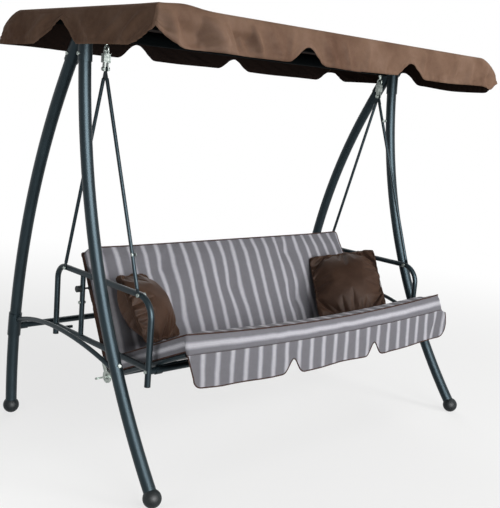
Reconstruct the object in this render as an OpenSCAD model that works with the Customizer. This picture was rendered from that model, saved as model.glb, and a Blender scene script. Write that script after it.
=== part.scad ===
// Canopy swing bench: bent tube stand, tilting canopy, hanging arm carriage and a padded seat
// whose backrest folds down to a bed. Sizes in mm. X runs along the bench, -Y is the front, +Z is up.
// The origin lies on the floor in the middle of the footprint.

/* [Stand] */
// Distance from the end of the seat to the plane of the legs on that side
stand_margin = 150; // [146:1:160]
// Distance between the front and the rear foot centres
frame_depth = 1114; // [1000:2:1240]
// Outer radius of the leg and beam tube
leg_r = 25; // [24:0.5:25.5]
// Wall of the leg and beam tube
leg_wall = 1.5; // [1.2:0.1:2.5]
// Height of the top beam axis
beam_z = 1715; // [1600:5:1850]
// Radius of the ball feet
foot_r = 36; // [33:0.5:38]
// Height of the rear crossbar
crossbar_z = 414; // [404:1:420]
// Outer radius of the rear crossbar
crossbar_r = 14; // [12:0.5:15]
// Outer radius of the side braces
brace_r = 9.5; // [8:0.5:11]
// Rise of the brace arch over its chord
brace_rise = 71; // [50:1:90]

/* [Canopy] */
// Distance from the plane of the legs to the end of the canopy
canopy_overhang = 85; // [75:1:110]
// Outer depth of the canopy
canopy_depth = 1107; // [1000:1:1200]
// Height of the flat top of the canopy above the beam axis
canopy_rise = 77; // [75:1:81]
// Depth of the hanging valance
valance = 137; // [100:1:150]
// Height of the notches between two flaps
notch = 62; // [40:1:70]
// Outer radius of the canopy tubes
canopy_tube_r = 10; // [8:0.5:10]
// Bend radius at the corners of the canopy frame
canopy_bend = 160; // [100:5:180]

/* [Carriage] */
// Height of the arm rail axis
arm_z = 726; // [716:1:740]
// Outer radius of the arm tube
arm_r = 12.5; // [11.5:0.5:12.5]
// Distance between the axes of front and rear post
arm_depth = 709; // [700:1:715]
// Bend radius at the front of the arm
arm_bend_front = 85; // [60:1:90]
// Bend radius at the rear of the arm
arm_bend_rear = 60; // [45:1:70]
// Height of the side rail axis
rail_z = 448; // [445:1:452]
// Radius of the hanger rods
rod_r = 7.5; // [6:0.5:8]
// Distance from the beam axis down to the bolt that the rods hang on
hanger_drop = 135; // [131:1:141]

/* [Seat] */
// Length of the cushions
seat_width = 1600; // [1400:10:1800]
// Tilt of the seat
seat_tilt = 24.8; // [24:0.1:25.4]
// Lean of the backrest from upright
back_lean = 27; // [26:0.1:28]
// Length of the seat from pivot to recline hinge
seat_reach = 352; // [346:1:354]
// Height of the backrest above the recline hinge
back_height = 548; // [520:1:560]
// Thickness of the cushions at their edge
cushion = 60; // [50:1:61]
// Crown of the cushions
crown = 12; // [4:1:16]
// Length of the front skirt
skirt_drop = 163; // [120:1:175]
// Edge length of the throw pillows
pillow = 350; // [320:5:350]

/* [Hidden] */
$fn = 48;
fit = 0.1;
run = 0.05;
eps = 0.02;
over = 5;
saddle = 2;
half_w = seat_width/2 + stand_margin;
foot_y = frame_depth/2;
hang_y = 49;
foot_flat = 2;
foot_z = foot_r - foot_flat;
leg_stop = 63;
leg_top = beam_z - leg_stop;
// A leg is an arc from its foot to the beam: where it stands upright, and how far it meets beside the beam
front_upright = 30;
front_beside = 5;
front_bend_z = beam_z + front_upright;
front_rise = front_bend_z - foot_z;
front_run = foot_y + hang_y - front_beside;
front_bend = (front_rise*front_rise + front_run*front_run)/(2*front_run);
front_bend_y = hang_y - front_beside - front_bend;
rear_bend_z = 150;
rear_beside = 18.7;
rear_top_y = hang_y + rear_beside;
rear_bend_y = (rear_top_y*rear_top_y - foot_y*foot_y + pow(beam_z - rear_bend_z, 2)
  - pow(foot_z - rear_bend_z, 2))/(2*(rear_top_y - foot_y));
rear_bend = norm([foot_y - rear_bend_y, foot_z - rear_bend_z]);
crown_wall = 3.5;
crown_drop = 115;
crown_head = 5;
crown_low = beam_z - crown_drop;
crown_high = beam_z + crown_head;
crown_in = 65;
crown_out = 35;
crown_screw_rise = 28;
beam_sleeve_wall = 4;
beam_sleeve_r = leg_r + beam_sleeve_wall;
beam_stop = 10;
beam_end = half_w - beam_stop;
sleeve_below = 42;
sleeve_above = 62;
sleeve_low = crossbar_z - sleeve_below;
sleeve_high = crossbar_z + sleeve_above;
sleeve_wall = 4;
sleeve_r = leg_r + sleeve_wall;
stub_wall = 3.5;
stub_r = crossbar_r + stub_wall;
stub_len = 60;
crossbar_end = half_w - sleeve_r + 1;
crossbar_y = leg_y_rear(crossbar_z);
screw_r = 4;
screw_head = 5;
screw_head_r = 7;
brace_above = 42;
brace_z_front = crossbar_z + brace_above;
brace_z_rear = crossbar_z + brace_above - 1;
sleeve_screw_drop = 28;
sleeve_screw_z = crossbar_z - sleeve_screw_drop;
brace_tilt = 20;
brace_wall = 1.5;
eye_out = 50;
eye_x = seat_width/2 + eye_out;
eye_drop = 58;
eye_z = beam_z - eye_drop;
eye_ring = 13.5;
eye_wire = 3.5;
eye_shank_r = 5;
nut_r = 9;
nut_h = 8;
pin_r = 3.7;
pin_play = 0.3;
pin_end = 3;
pin_z = eye_z - eye_ring + eye_wire + pin_r + pin_play;
rod_apex_z = beam_z - hanger_drop;
plate_t = 6;
plate_out = 6;
plate_x = half_w + plate_out;
plate_gap = 0.4;
tilt_rise = 50;
tilt_z = beam_z + tilt_rise;
tilt_plate_r = 19;
tilt_bolt_r = 5;
tilt_head = 5;
tilt_head_r = 8;
hand_nut = 18;
hand_nut_r = 14;
bolt_tail = 4;
tab_t = 8;
cloth = 2.5;
cloth_play = 0.5;
canopy_top = beam_z + canopy_rise;
canopy_end = half_w + canopy_overhang;
tube_inset = cloth + canopy_tube_r + cloth_play;
tube_x = canopy_end - tube_inset;
canopy_mid = 20.5;
canopy_front = canopy_mid - canopy_depth/2;
canopy_rear = canopy_mid + canopy_depth/2;
tube_front = canopy_front + tube_inset;
tube_rear = canopy_rear - tube_inset;
tube_z = canopy_top - cloth - canopy_tube_r - eps;
tube_wall = 1.2;
cross_front = -160;
cross_rear = 205;
arm_out = 36;
arm_x = seat_width/2 + arm_out;
post_front = -333;
post_rear = post_front + arm_depth;
post_front_low = 379;
post_rear_low = 412;
post_mid_r = 11;
arm_wall = 1.5;
rod_x = eye_x;
rod_tab = 3;
rod_tab_w = 18;
rod_front_in = 75;
rod_rear_in = 80;
rod_front_y = post_front + rod_front_in;
rod_rear_y = post_rear - rod_rear_in;
rod_clear_top = 40;
rod_clear_low = 26;
tab_lap = 6;
rod_bolt_r = 4;
rod_nut = 6;
rod_nut_r = 7.5;
rod_head = 5;
rod_tail = 2;
bolt_play = 0.2;
block_w = 31;
block_d = 22;
block_h = 35;
block_gap = 18;
block_top = eye_z - block_gap;
block_low = block_top - block_h;
ear_t = 4;
ear_gap = 4.6;
ear_r = 8;
shackle_t = 4;
shackle_in = 6;
shackle_w = 16;
shackle_foot = 9;
shackle_let_in = 12;
pivot_y = post_front;
pivot_z = 437;
cross_r = 12.5;
saddle_r = 16;
saddle_w = 30;
seat_r = 10;
seat_wall = 1.2;
seat_x = seat_width/2 - seat_r;
seat_w0 = saddle_r + seat_r;
seat_front = -215;
seat_end_gap = 17;
rear_tube_gap = 34;
seat_side_end = seat_reach - seat_end_gap;
seat_rear_tube = seat_reach - rear_tube_gap;
sling = 2.5;
sling_in = 2;
pad_play = 0.1;
pad_low = seat_w0 + seat_r + sling + pad_play;
seat_sag = 26;
pad_edge = 3;
pad_round = 4;
pad_draw = 5;
pad_swell = [40, 100, 170];
cushion_front = -238;
cushion_short = 79;
cushion_rear = seat_reach - cushion_short;
hinge_y = pivot_y + seat_reach*cos(seat_tilt) + seat_w0*sin(seat_tilt);
hinge_z = pivot_z - seat_reach*sin(seat_tilt) + seat_w0*cos(seat_tilt);
hinge_r = 27;
hinge_t = 3.5;
hinge_pin_r = 5;
hinge_arm = 75;
hinge_arm_w = 22;
hinge_gap = 0.5;
back_plate_x = seat_width/2 + hinge_t + hinge_gap;
lever_x = back_plate_x + hinge_t + hinge_gap;
rivet = 3;
back_tab = 42;
back_tab_w = 14;
lever_w = 8;
lever_len = 60;
lever_drop = 22.5;
lever_hub = 11;
grip_r = 5;
grip_len = 18;
back_first = 16;
back_step = 14;
back_top_tube = back_height - back_step;
peg_in = 46;
peg_y = post_rear - peg_in;
peg_r = 7;
peg_len = 42;
peg_play = 0.3;
peg_z = pivot_z + saddle_r - peg_r - peg_play;
knob_z = 660;
knob_off = 7.271;
post_mid = hinge_y + (knob_z - hinge_z)*tan(back_lean) - knob_off;
stud_z = 600;
stud_head = 3;
post_bolt_in = 12;
cap_t = 4;
cap_plug = 12;
knob_r = 14;
knob_t = 18;
knob_gap = 3.5;
knob_tip = seat_width/2 + knob_gap;
knob_pad = 3;
knob_lap = 4;
knob_pad_r = 8;
skirt_t = 2.5;
skirt_gap = 0.2;
skirt_top = 45;
skirt_notch = 58;
pillow_t = 104;
edge_hollow = 0.07;
pillow_swell = 0.45;
// Middle of a pillow: in from the end of the seat, up the back from the hinge and off the back
pillow_left_in = 163;
pillow_left_up = 244.727;
pillow_left_off = 208.357;
pillow_right_in = 258;
pillow_right_up = 245.258;
pillow_right_off = 250.266;

steel = [0.17, 0.22, 0.23];
zinc = [0.72, 0.76, 0.72];
brown = [0.42, 0.33, 0.28];
grey = [0.5, 0.49, 0.51];
dark = [0.1, 0.1, 0.1];

function leg_y_front(z) = front_bend_y + sqrt(front_bend*front_bend - pow(z - front_bend_z, 2));
function leg_y_rear(z) = rear_bend_y + sqrt(rear_bend*rear_bend - pow(z - rear_bend_z, 2));
function angle_front(z) = asin((z - front_bend_z)/front_bend);
function angle_rear(z) = asin((z - rear_bend_z)/rear_bend);

// Turns a drawing in the XY plane into the side view plane, thickness along +X
module side_view() {
  rotate([90, 0, 90]) children();
}

// A rod along X from x0 to x1
module along_x(x0, x1, y, z, r) {
  translate([x0, y, z]) rotate([0, 90, 0]) cylinder(h = x1 - x0, r = r);
}

// A rod along Y from y0 to y1
module along_y(x, y0, y1, z, r) {
  translate([x, y0, z]) rotate([-90, 0, 0]) cylinder(h = y1 - y0, r = r);
}

module both_sides() {
  children();
  mirror([1, 0, 0]) children();
}

// Solid arc of a leg between two heights
module leg_arc(x, front, low, high, r) {
  a0 = front ? angle_front(low) : angle_rear(low);
  a1 = front ? angle_front(high) : angle_rear(high);
  translate([x, front ? front_bend_y : rear_bend_y, front ? front_bend_z : rear_bend_z])
    side_view() rotate([0, 0, a0]) rotate_extrude(angle = a1 - a0, $fn = 720)
      translate([front ? front_bend : rear_bend, 0]) circle(r = r, $fn = 48);
}

// Puts a drawing on the right legs at height z: Y points away from the leg, square to its axis
module at_leg(front, z) {
  translate([half_w, front ? leg_y_front(z) : leg_y_rear(z), z])
    rotate([front ? angle_front(z) : angle_rear(z), 0, 0]) children();
}

module leg(front) {
  color(steel) difference() {
    leg_arc(half_w, front, foot_z, leg_top, leg_r);
    leg_arc(half_w, front, foot_z - over, leg_top + over, leg_r - leg_wall);
    at_leg(front, front ? brace_z_front : brace_z_rear)
      along_y(0, -2*leg_r, 2*leg_r, 0, screw_r + bolt_play);
  }
}

module ball_feet() {
  for (side = [-1, 1]) for (front = [true, false])
    color(dark) difference() {
      translate([side*half_w, (front ? -1 : 1)*foot_y, foot_z]) sphere(r = foot_r);
      translate([side*half_w - 2*foot_r, (front ? -1 : 1)*foot_y - 2*foot_r, -foot_r])
        cube([4*foot_r, 4*foot_r, foot_r]);
      leg_arc(side*half_w, front, foot_z, foot_z + 2*foot_r, leg_r + fit);
    }
}

// Fitting that takes a front leg, a rear leg and the end of the beam
module crown_fitting() {
  color(steel) difference() {
    union() {
      leg_arc(half_w, true, crown_low, crown_high, leg_r + crown_wall);
      leg_arc(half_w, false, crown_low, crown_high, leg_r + crown_wall);
      along_x(half_w - crown_in, half_w + crown_out, hang_y, beam_z, beam_sleeve_r);
      along_x(plate_x, plate_x + plate_t, hang_y, tilt_z, tilt_plate_r);
      translate([plate_x, hang_y - tilt_plate_r, beam_z])
        cube([plate_t, 2*tilt_plate_r, tilt_z - beam_z]);
    }
    leg_arc(half_w, true, crown_low - over, leg_top, leg_r + fit);
    leg_arc(half_w, false, crown_low - over, leg_top, leg_r + fit);
    along_x(half_w - crown_in - over, beam_end, hang_y, beam_z, leg_r + fit);
    along_x(plate_x - over, plate_x + plate_t + over, hang_y, tilt_z, tilt_bolt_r + run);
    crown_screw_holes();
  }
}

crown_screw_z = crown_low + crown_screw_rise;

module crown_screw_holes() {
  for (y = [leg_y_front(crown_screw_z), leg_y_rear(crown_screw_z)])
    along_x(half_w, half_w + 2*leg_r, y, crown_screw_z, screw_r + bolt_play);
}

// Screws whose tips rest on the leg tubes: two in each crown, one in each rear sleeve
module frame_screws() {
  outer = half_w + leg_r + crown_wall;
  color(zinc) both_sides() {
    for (y = [leg_y_front(crown_screw_z), leg_y_rear(crown_screw_z)]) {
      along_x(half_w + leg_r, outer + 1, y, crown_screw_z, screw_r);
      along_x(outer, outer + screw_head, y, crown_screw_z, screw_head_r);
    }
    at_leg(false, sleeve_screw_z) {
      along_y(0, leg_r, sleeve_r + 1, 0, screw_r);
      along_y(0, sleeve_r, sleeve_r + screw_head, 0, screw_head_r);
    }
  }
}

module top_beam() {
  color(steel) difference() {
    along_x(-beam_end, beam_end, hang_y, beam_z, leg_r);
    along_x(-beam_end - over, beam_end + over, hang_y, beam_z, leg_r - leg_wall);
    both_sides() translate([eye_x, hang_y, beam_z - 2*leg_r])
      cylinder(h = 4*leg_r, r = eye_shank_r + bolt_play);
  }
}

module t_sleeve() {
  color(steel) difference() {
    union() {
      leg_arc(half_w, false, sleeve_low, sleeve_high, sleeve_r);
      along_x(half_w - stub_len, half_w, crossbar_y, crossbar_z, stub_r);
    }
    leg_arc(half_w, false, sleeve_low - over, sleeve_high + over, leg_r + fit);
    along_x(half_w - stub_len - over, crossbar_end, crossbar_y, crossbar_z, crossbar_r + fit);
    at_leg(false, sleeve_screw_z) along_y(0, 0, 2*leg_r, 0, screw_r + bolt_play);
    at_leg(false, brace_z_rear) along_y(0, -2*leg_r, 2*leg_r, 0, screw_r + bolt_play);
  }
}

module rear_crossbar() {
  color(steel) difference() {
    along_x(-crossbar_end, crossbar_end, crossbar_y, crossbar_z, crossbar_r);
    along_x(-crossbar_end - over, crossbar_end + over, crossbar_y, crossbar_z, crossbar_r - leg_wall);
  }
}

// Arch in a plane that leans outward by brace_tilt, trimmed to front leg and rear sleeve
brace_a0 = angle_front(brace_z_front);
brace_a1 = angle_rear(brace_z_rear);
brace_p0 = [leg_y_front(brace_z_front) + leg_r*cos(brace_a0), brace_z_front + leg_r*sin(brace_a0)];
brace_p1 = [leg_y_rear(brace_z_rear) - sleeve_r*cos(brace_a1), brace_z_rear - sleeve_r*sin(brace_a1)];
brace_run = brace_p1 - brace_p0;
brace_mid = (brace_p0 + brace_p1)/2;
brace_chord = norm(brace_run);
brace_bend = (brace_chord*brace_chord/4 + brace_rise*brace_rise)/(2*brace_rise);
brace_half = asin(brace_chord/2/brace_bend) + 1.4;

module brace_arc(r) {
  translate([half_w, brace_mid[0], brace_mid[1]])
    rotate([atan2(brace_run[1], brace_run[0]), 0, 0]) rotate([0, brace_tilt, 0])
      translate([0, 0, brace_rise - brace_bend])
        side_view() rotate([0, 0, 90 - brace_half]) rotate_extrude(angle = 2*brace_half, $fn = 720)
          translate([brace_bend, 0]) circle(r = r, $fn = 48);
}

module brace() {
  color(steel) difference() {
    brace_arc(brace_r);
    brace_arc(brace_r - brace_wall);
    at_leg(true, brace_z_front) cylinder(h = 6*leg_r, r = leg_r + eps, center = true);
    at_leg(false, brace_z_rear) cylinder(h = 6*leg_r, r = sleeve_r + eps, center = true);
  }
}

// Bolts from outside through the leg, and through the rear sleeve, into the brace ends
module brace_bolts() {
  grip = 2.5;
  color(zinc) both_sides() {
    at_leg(true, brace_z_front) {
      along_y(0, -leg_r - 1, leg_r + grip, 0, screw_r);
      along_y(0, -leg_r - screw_head, -leg_r, 0, screw_head_r);
    }
    at_leg(false, brace_z_rear) {
      along_y(0, -sleeve_r - grip, sleeve_r + 1, 0, screw_r);
      along_y(0, sleeve_r, sleeve_r + screw_head, 0, screw_head_r);
    }
  }
}

module eye_bolt() {
  color(zinc) {
    translate([eye_x, hang_y, eye_z]) rotate([0, 90, 0])
      rotate_extrude() translate([eye_ring, 0]) circle(r = eye_wire);
    difference() {
      union() {
        translate([eye_x, hang_y, eye_z + eye_ring])
          cylinder(h = beam_z + leg_r + nut_h + 6 - eye_z - eye_ring, r = eye_shank_r);
        translate([eye_x, hang_y, beam_z + leg_r]) cylinder(h = nut_h, r = nut_r, $fn = 6);
        translate([eye_x, hang_y, beam_z - leg_r - nut_h]) cylinder(h = nut_h, r = nut_r, $fn = 6);
      }
      translate([eye_x - 20, hang_y, eye_z]) rotate([0, 90, 0]) cylinder(h = 40, r = eye_ring);
    }
  }
}

// Pivot bolts of the canopy with a hand nut on the inner side
module tilt_bolts() {
  x1 = plate_x + 2*plate_t + plate_gap;
  color(zinc) both_sides() {
    along_x(plate_x - hand_nut - bolt_tail, x1 + tilt_head, hang_y, tilt_z, tilt_bolt_r);
    along_x(x1 + plate_gap, x1 + plate_gap + tilt_head, hang_y, tilt_z, tilt_head_r);
    along_x(plate_x - hand_nut, plate_x, hang_y, tilt_z, hand_nut_r);
  }
}

// Straight tube along X with saddle cuts left to the caller
module hollow_x(x0, x1, y, z, r, wall) {
  difference() {
    along_x(x0, x1, y, z, r);
    along_x(x0 - over, x1 + over, y, z, r - wall);
  }
}

module hollow_y(x, y0, y1, z, r, wall) {
  difference() {
    along_y(x, y0, y1, z, r);
    along_y(x, y0 - over, y1 + over, z, r - wall);
  }
}

// End of the canopy frame: a tube along X whose ends bend inward, as a solid of radius r
module canopy_bow(y, inward, r, past) {
  along_x(canopy_bend - tube_x, tube_x - canopy_bend, y, tube_z, r);
  both_sides() translate([tube_x - canopy_bend, y, tube_z]) mirror([0, inward ? 0 : 1, 0])
    translate([0, canopy_bend, 0]) {
      rotate([0, 0, -90]) rotate_extrude(angle = 90) translate([canopy_bend, 0]) circle(r = r);
      if (past > 0) along_y(canopy_bend, 0, past, 0, r);
    }
}

module canopy_end_tube(y, inward) {
  color(steel) difference() {
    canopy_bow(y, inward, canopy_tube_r, 0);
    canopy_bow(y, inward, canopy_tube_r - tube_wall, over);
  }
}

// Side tubes between the bent ends
module canopy_side_tubes() {
  color(steel) both_sides()
    hollow_y(tube_x, tube_front + canopy_bend, tube_rear - canopy_bend, tube_z, canopy_tube_r, tube_wall);
}

module canopy_cross_tubes() {
  color(steel) for (y = [cross_front, cross_rear]) difference() {
    hollow_x(-tube_x + saddle, tube_x - saddle, y, tube_z, canopy_tube_r, tube_wall);
    both_sides() along_y(tube_x, y - 2*canopy_tube_r, y + 2*canopy_tube_r, tube_z, canopy_tube_r);
  }
}

// Plate on the pivot bolt with a tab out to the side tube
module canopy_plates() {
  x0 = plate_x + plate_t + plate_gap;
  color(steel) both_sides() difference() {
    union() {
      along_x(x0, x0 + plate_t, hang_y, tilt_z, tilt_plate_r);
      translate([x0, hang_y - tilt_plate_r, tilt_z])
        cube([plate_t, 2*tilt_plate_r, tube_z + tab_t/2 - tilt_z]);
      translate([x0, hang_y - tilt_plate_r, tube_z - tab_t/2])
        cube([tube_x - x0, 2*tilt_plate_r, tab_t]);
    }
    along_x(x0 - over, x0 + plate_t + over, hang_y, tilt_z, tilt_bolt_r + run);
    along_y(tube_x, hang_y - 2*tilt_plate_r, hang_y + 2*tilt_plate_r, tube_z, canopy_tube_r);
  }
}

// Rises of the hem above its lowest line, by distance from the notch
hem_steps = [[0, 1], [30, 0.62], [60, 0.28], [95, 0.06], [170, 0]];

// Stations along one flap of a given length: [distance, rise]
function flap(len) = concat(hem_steps, [[len/2, 0]], [for (i = [4:-1:1]) [len - hem_steps[i][0], hem_steps[i][1]]]);

// Stations of one side of the canopy as [x, y, normal x, normal y, rise, fold]
function edge(x0, y0, x1, y1, flaps) =
  let (len = norm([x1 - x0, y1 - y0]), dx = (x1 - x0)/len, dy = (y1 - y0)/len, part = len/flaps)
  [for (i = [0:flaps - 1]) for (s = flap(part))
    let (d = i*part + s[0], corner = (d < 1) ? 1 : 0)
    [x0 + dx*d, y0 + dy*d, corner ? dy - dx : dy, corner ? -dx - dy : -dx, s[1],
      sin(d/part*720)*4*(1 - s[1])]];

cloth_line = 4;
cloth_x = canopy_end - cloth_line;
cloth_front = canopy_front + cloth_line;
cloth_rear = canopy_rear - cloth_line;
cloth_edge = concat(
  edge(-cloth_x, cloth_front, cloth_x, cloth_front, 3),
  edge(cloth_x, cloth_front, cloth_x, cloth_rear, 2),
  edge(cloth_x, cloth_rear, -cloth_x, cloth_rear, 3),
  edge(-cloth_x, cloth_rear, -cloth_x, cloth_front, 2));

// Section of the cloth over the tube: places out from its line, and depths below the top
cloth_flat = -12;
bend_in = [-4.8, 1.1];
bend_out = [3.7, -3.6];
bend_depth = 5.8;
bend_drop = 6;
side_in = 26;
side_out = 24;
belly = 5;
flare = 9;
belly_fold = 0.4;

// One ring of the cloth: out is the distance to the outside, up the height as a function of rise
function ring(out, fold, low, rise) =
  [for (p = cloth_edge) [p[0] + p[2]*(out + fold*p[5]), p[1] + p[3]*(out + fold*p[5]), low + rise*p[4]]];

// Triangles between rings of n points, closed by a point at either end
function bands(n, rings) = [for (k = [0:rings - 2]) for (i = [0:n - 1]) for (t = [0, 1])
  let (a = k*n + i, b = k*n + (i + 1)%n) t == 0 ? [a, b, b + n] : [a, b + n, a + n]];
function cap_first(n, tip) = [for (i = [0:n - 1]) [tip, (i + 1)%n, i]];
function cap_last(n, rings, tip) = [for (i = [0:n - 1]) [tip, (rings - 1)*n + i, (rings - 1)*n + (i + 1)%n]];

// Closed skin through a list of equal rings
module skin(rings, first, last) {
  n = len(rings[0]);
  m = len(rings);
  points = concat([for (r = rings) for (p = r) p], [first, last]);
  polyhedron(points = points, faces = concat(bands(n, m), cap_first(n, n*m), cap_last(n, m, n*m + 1)));
}

module canopy_cloth() {
  hem = canopy_top - valance;
  middle = canopy_top - valance/2;
  color(brown) skin([
    ring(cloth_flat, 0, canopy_top - cloth, 0),
    ring(bend_in[0], 0, canopy_top - cloth, 0),
    ring(bend_in[1], 0, canopy_top - cloth - bend_depth, 0),
    ring(cloth_line - cloth, 0, canopy_top - side_in, 0),
    ring(belly - cloth, belly_fold, middle, notch/2),
    ring(flare - cloth, 1, hem, notch),
    ring(flare, 1, hem, notch),
    ring(belly, belly_fold, middle, notch/2),
    ring(cloth_line, 0, canopy_top - side_out, 0),
    ring(bend_out[0], 0, canopy_top - bend_drop, 0),
    ring(bend_out[1], 0, canopy_top, 0),
    ring(cloth_flat, 0, canopy_top, 0)],
    [0, canopy_mid, canopy_top - cloth], [0, canopy_mid, canopy_top]);
}

// Block with two ears and the pin that hangs in the eye
module hanger_block() {
  color(zinc) {
    translate([eye_x - block_w/2, hang_y - block_d/2, block_low]) difference() {
      cube([block_w, block_d, block_top - block_low]);
      translate([block_w/2 - shackle_in - shackle_t, (block_d - shackle_w)/2, -1])
        cube([2*(shackle_in + shackle_t), shackle_w, shackle_let_in + 1]);
    }
    for (side = [-1, 1]) {
      x0 = side > 0 ? eye_x + ear_gap : eye_x - ear_gap - ear_t;
      translate([x0, hang_y - ear_r, block_top - 1]) cube([ear_t, 2*ear_r, pin_z - block_top + 1]);
      along_x(x0, x0 + ear_t, hang_y, pin_z, ear_r);
    }
    along_x(eye_x - ear_gap - ear_t - pin_end, eye_x + ear_gap + ear_t + pin_end, hang_y, pin_z, pin_r);
  }
}

// Stirrup let into the block, with the bolt hole for the rods
module shackles() {
  color(zinc) both_sides() difference() {
    translate([eye_x - shackle_in - shackle_t, hang_y - shackle_w/2, rod_apex_z - shackle_foot])
      cube([2*(shackle_in + shackle_t), shackle_w, block_low + shackle_let_in - rod_apex_z + shackle_foot]);
    translate([eye_x - shackle_in, hang_y - shackle_w, rod_apex_z - 2*shackle_foot])
      cube([2*shackle_in, 2*shackle_w,
        block_low + shackle_let_in - shackle_t - rod_apex_z + 2*shackle_foot]);
    along_x(eye_x - block_w, eye_x + block_w, hang_y, rod_apex_z, rod_bolt_r + bolt_play);
  }
}

// Rod from the apex bolt to the arm rail; top_x and low_x are the inner faces of its flat ends
module rod(low_y, low_z, top_x) {
  run_y = low_y - hang_y;
  run_z = low_z - rod_apex_z;
  length = norm([run_y, run_z]);
  low_x = arm_x + arm_r;
  color(steel) translate([0, hang_y, rod_apex_z]) rotate([atan2(run_y, -run_z), 0, 0]) difference() {
    union() {
      translate([rod_x, 0, -length + rod_clear_low])
        cylinder(h = length - rod_clear_low - rod_clear_top, r = rod_r);
      translate([top_x, -rod_tab_w/2, -rod_clear_top - tab_lap])
        cube([rod_tab, rod_tab_w, rod_clear_top + tab_lap]);
      along_x(top_x, top_x + rod_tab, 0, 0, rod_tab_w/2);
      translate([low_x, -rod_tab_w/2, -length]) cube([rod_tab, rod_tab_w, rod_clear_low + tab_lap]);
      along_x(low_x, low_x + rod_tab, 0, -length, rod_tab_w/2);
    }
    along_x(rod_x - rod_clear_top, rod_x + rod_clear_top, 0, 0, rod_bolt_r + bolt_play);
    along_x(rod_x - rod_clear_top, rod_x + rod_clear_top, 0, -length, rod_bolt_r + bolt_play);
  }
}

module rod_bolts() {
  cheek = shackle_in + shackle_t;
  outer = arm_x + arm_r + rod_tab;
  inner = arm_x - arm_r;
  color(zinc) both_sides() {
    along_x(eye_x - cheek - rod_nut - rod_tail, eye_x + cheek + rod_nut, hang_y, rod_apex_z, rod_bolt_r);
    along_x(eye_x + cheek, eye_x + cheek + rod_nut, hang_y, rod_apex_z, rod_nut_r);
    along_x(eye_x - cheek - rod_nut, eye_x - cheek, hang_y, rod_apex_z, rod_nut_r);
    for (y = [rod_front_y, rod_rear_y]) {
      along_x(inner - rod_nut - rod_tail/2, outer + rod_head, y, arm_z, rod_bolt_r);
      along_x(outer, outer + rod_head, y, arm_z, rod_nut_r);
      along_x(inner - rod_nut, inner, y, arm_z, rod_nut_r);
    }
  }
}

// Outline of an arm: front post, rail and rear post, as solid tube of radius r
module arm_path(r, low) {
  yf = post_front;
  yr = post_rear;
  bf = arm_bend_front;
  br = arm_bend_rear;
  translate([arm_x, yf, post_front_low - low]) cylinder(h = arm_z - bf - post_front_low + low, r = r);
  translate([arm_x, yr, post_rear_low - low]) cylinder(h = arm_z - br - post_rear_low + low, r = r);
  along_y(arm_x, yf + bf, yr - br, arm_z, r);
  translate([arm_x, yf + bf, arm_z - bf]) side_view() rotate([0, 0, 90]) rotate_extrude(angle = 90)
    translate([bf, 0]) circle(r = r);
  translate([arm_x, yr - br, arm_z - br]) side_view() rotate_extrude(angle = 90)
    translate([br, 0]) circle(r = r);
}

module arm() {
  color(steel) difference() {
    arm_path(arm_r, 0);
    arm_path(arm_r - arm_wall, over);
    for (y = [rod_front_y, rod_rear_y])
      along_x(arm_x - 2*arm_r, arm_x + 2*arm_r, y, arm_z, rod_bolt_r + bolt_play);
    along_x(arm_x - 2*arm_r, arm_x + 2*arm_r, post_front, pivot_z, screw_r + bolt_play);
  }
}

// Side rail between the posts, with the peg that carries the back when it lies flat
module side_rail() {
  color(steel) difference() {
    union() {
      along_y(arm_x, post_front + saddle, post_rear - saddle, rail_z, arm_r);
      along_x(arm_x - arm_r - peg_len, arm_x, peg_y, peg_z, peg_r);
    }
    along_y(arm_x, post_front, post_rear, rail_z, arm_r - arm_wall);
    along_x(arm_x - 2*arm_r, arm_x, pivot_y, pivot_z, cross_r + eps);
    for (y = [post_front, post_rear])
      translate([arm_x, y, rail_z - 3*arm_r]) cylinder(h = 6*arm_r, r = arm_r);
  }
}

module mid_post() {
  color(steel) difference() {
    translate([arm_x, post_mid, rail_z]) cylinder(h = arm_z - rail_z, r = post_mid_r);
    translate([arm_x, post_mid, rail_z]) cylinder(h = arm_z - rail_z, r = post_mid_r - arm_wall);
    along_y(arm_x, post_mid - 2*arm_r, post_mid + 2*arm_r, rail_z, arm_r);
    along_y(arm_x, post_mid - 2*arm_r, post_mid + 2*arm_r, arm_z, arm_r);
    along_x(arm_x - 2*arm_r, arm_x + 2*arm_r, post_mid, knob_z, screw_r + run);
    along_x(arm_x - 2*arm_r, arm_x + 2*arm_r, post_mid, stud_z, screw_r + bolt_play);
  }
}

module front_cross_tube() {
  color(steel) difference() {
    along_x(-arm_x + saddle, arm_x - saddle, pivot_y, pivot_z, cross_r);
    along_x(-arm_x - over, arm_x + over, pivot_y, pivot_z, cross_r - arm_wall);
    both_sides() translate([arm_x, post_front, pivot_z - 3*arm_r]) cylinder(h = 6*arm_r, r = arm_r);
  }
}

// Bolts through the front posts into the cross tube, and studs through the middle posts
module carriage_bolts() {
  color(zinc) both_sides() {
    along_x(arm_x - arm_r - post_bolt_in, arm_x + arm_r + screw_head - 1, post_front, pivot_z, screw_r);
    along_x(arm_x + arm_r, arm_x + arm_r + screw_head, post_front, pivot_z, screw_head_r);
    along_x(arm_x - post_mid_r - stud_head, arm_x + post_mid_r + stud_head, post_mid, stud_z, screw_r);
    along_x(arm_x + post_mid_r, arm_x + post_mid_r + screw_head, post_mid, stud_z, screw_head_r);
    along_x(arm_x - post_mid_r - stud_head, arm_x - post_mid_r, post_mid, stud_z, screw_head_r);
  }
}

module post_caps() {
  color(dark) both_sides() for (p = [[post_front, post_front_low], [post_rear, post_rear_low]]) {
    translate([arm_x, p[0], p[1] - cap_t]) cylinder(h = cap_t, r = arm_r);
    translate([arm_x, p[0], p[1] - 1]) cylinder(h = cap_plug, r = arm_r - arm_wall - fit);
  }
}

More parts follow.
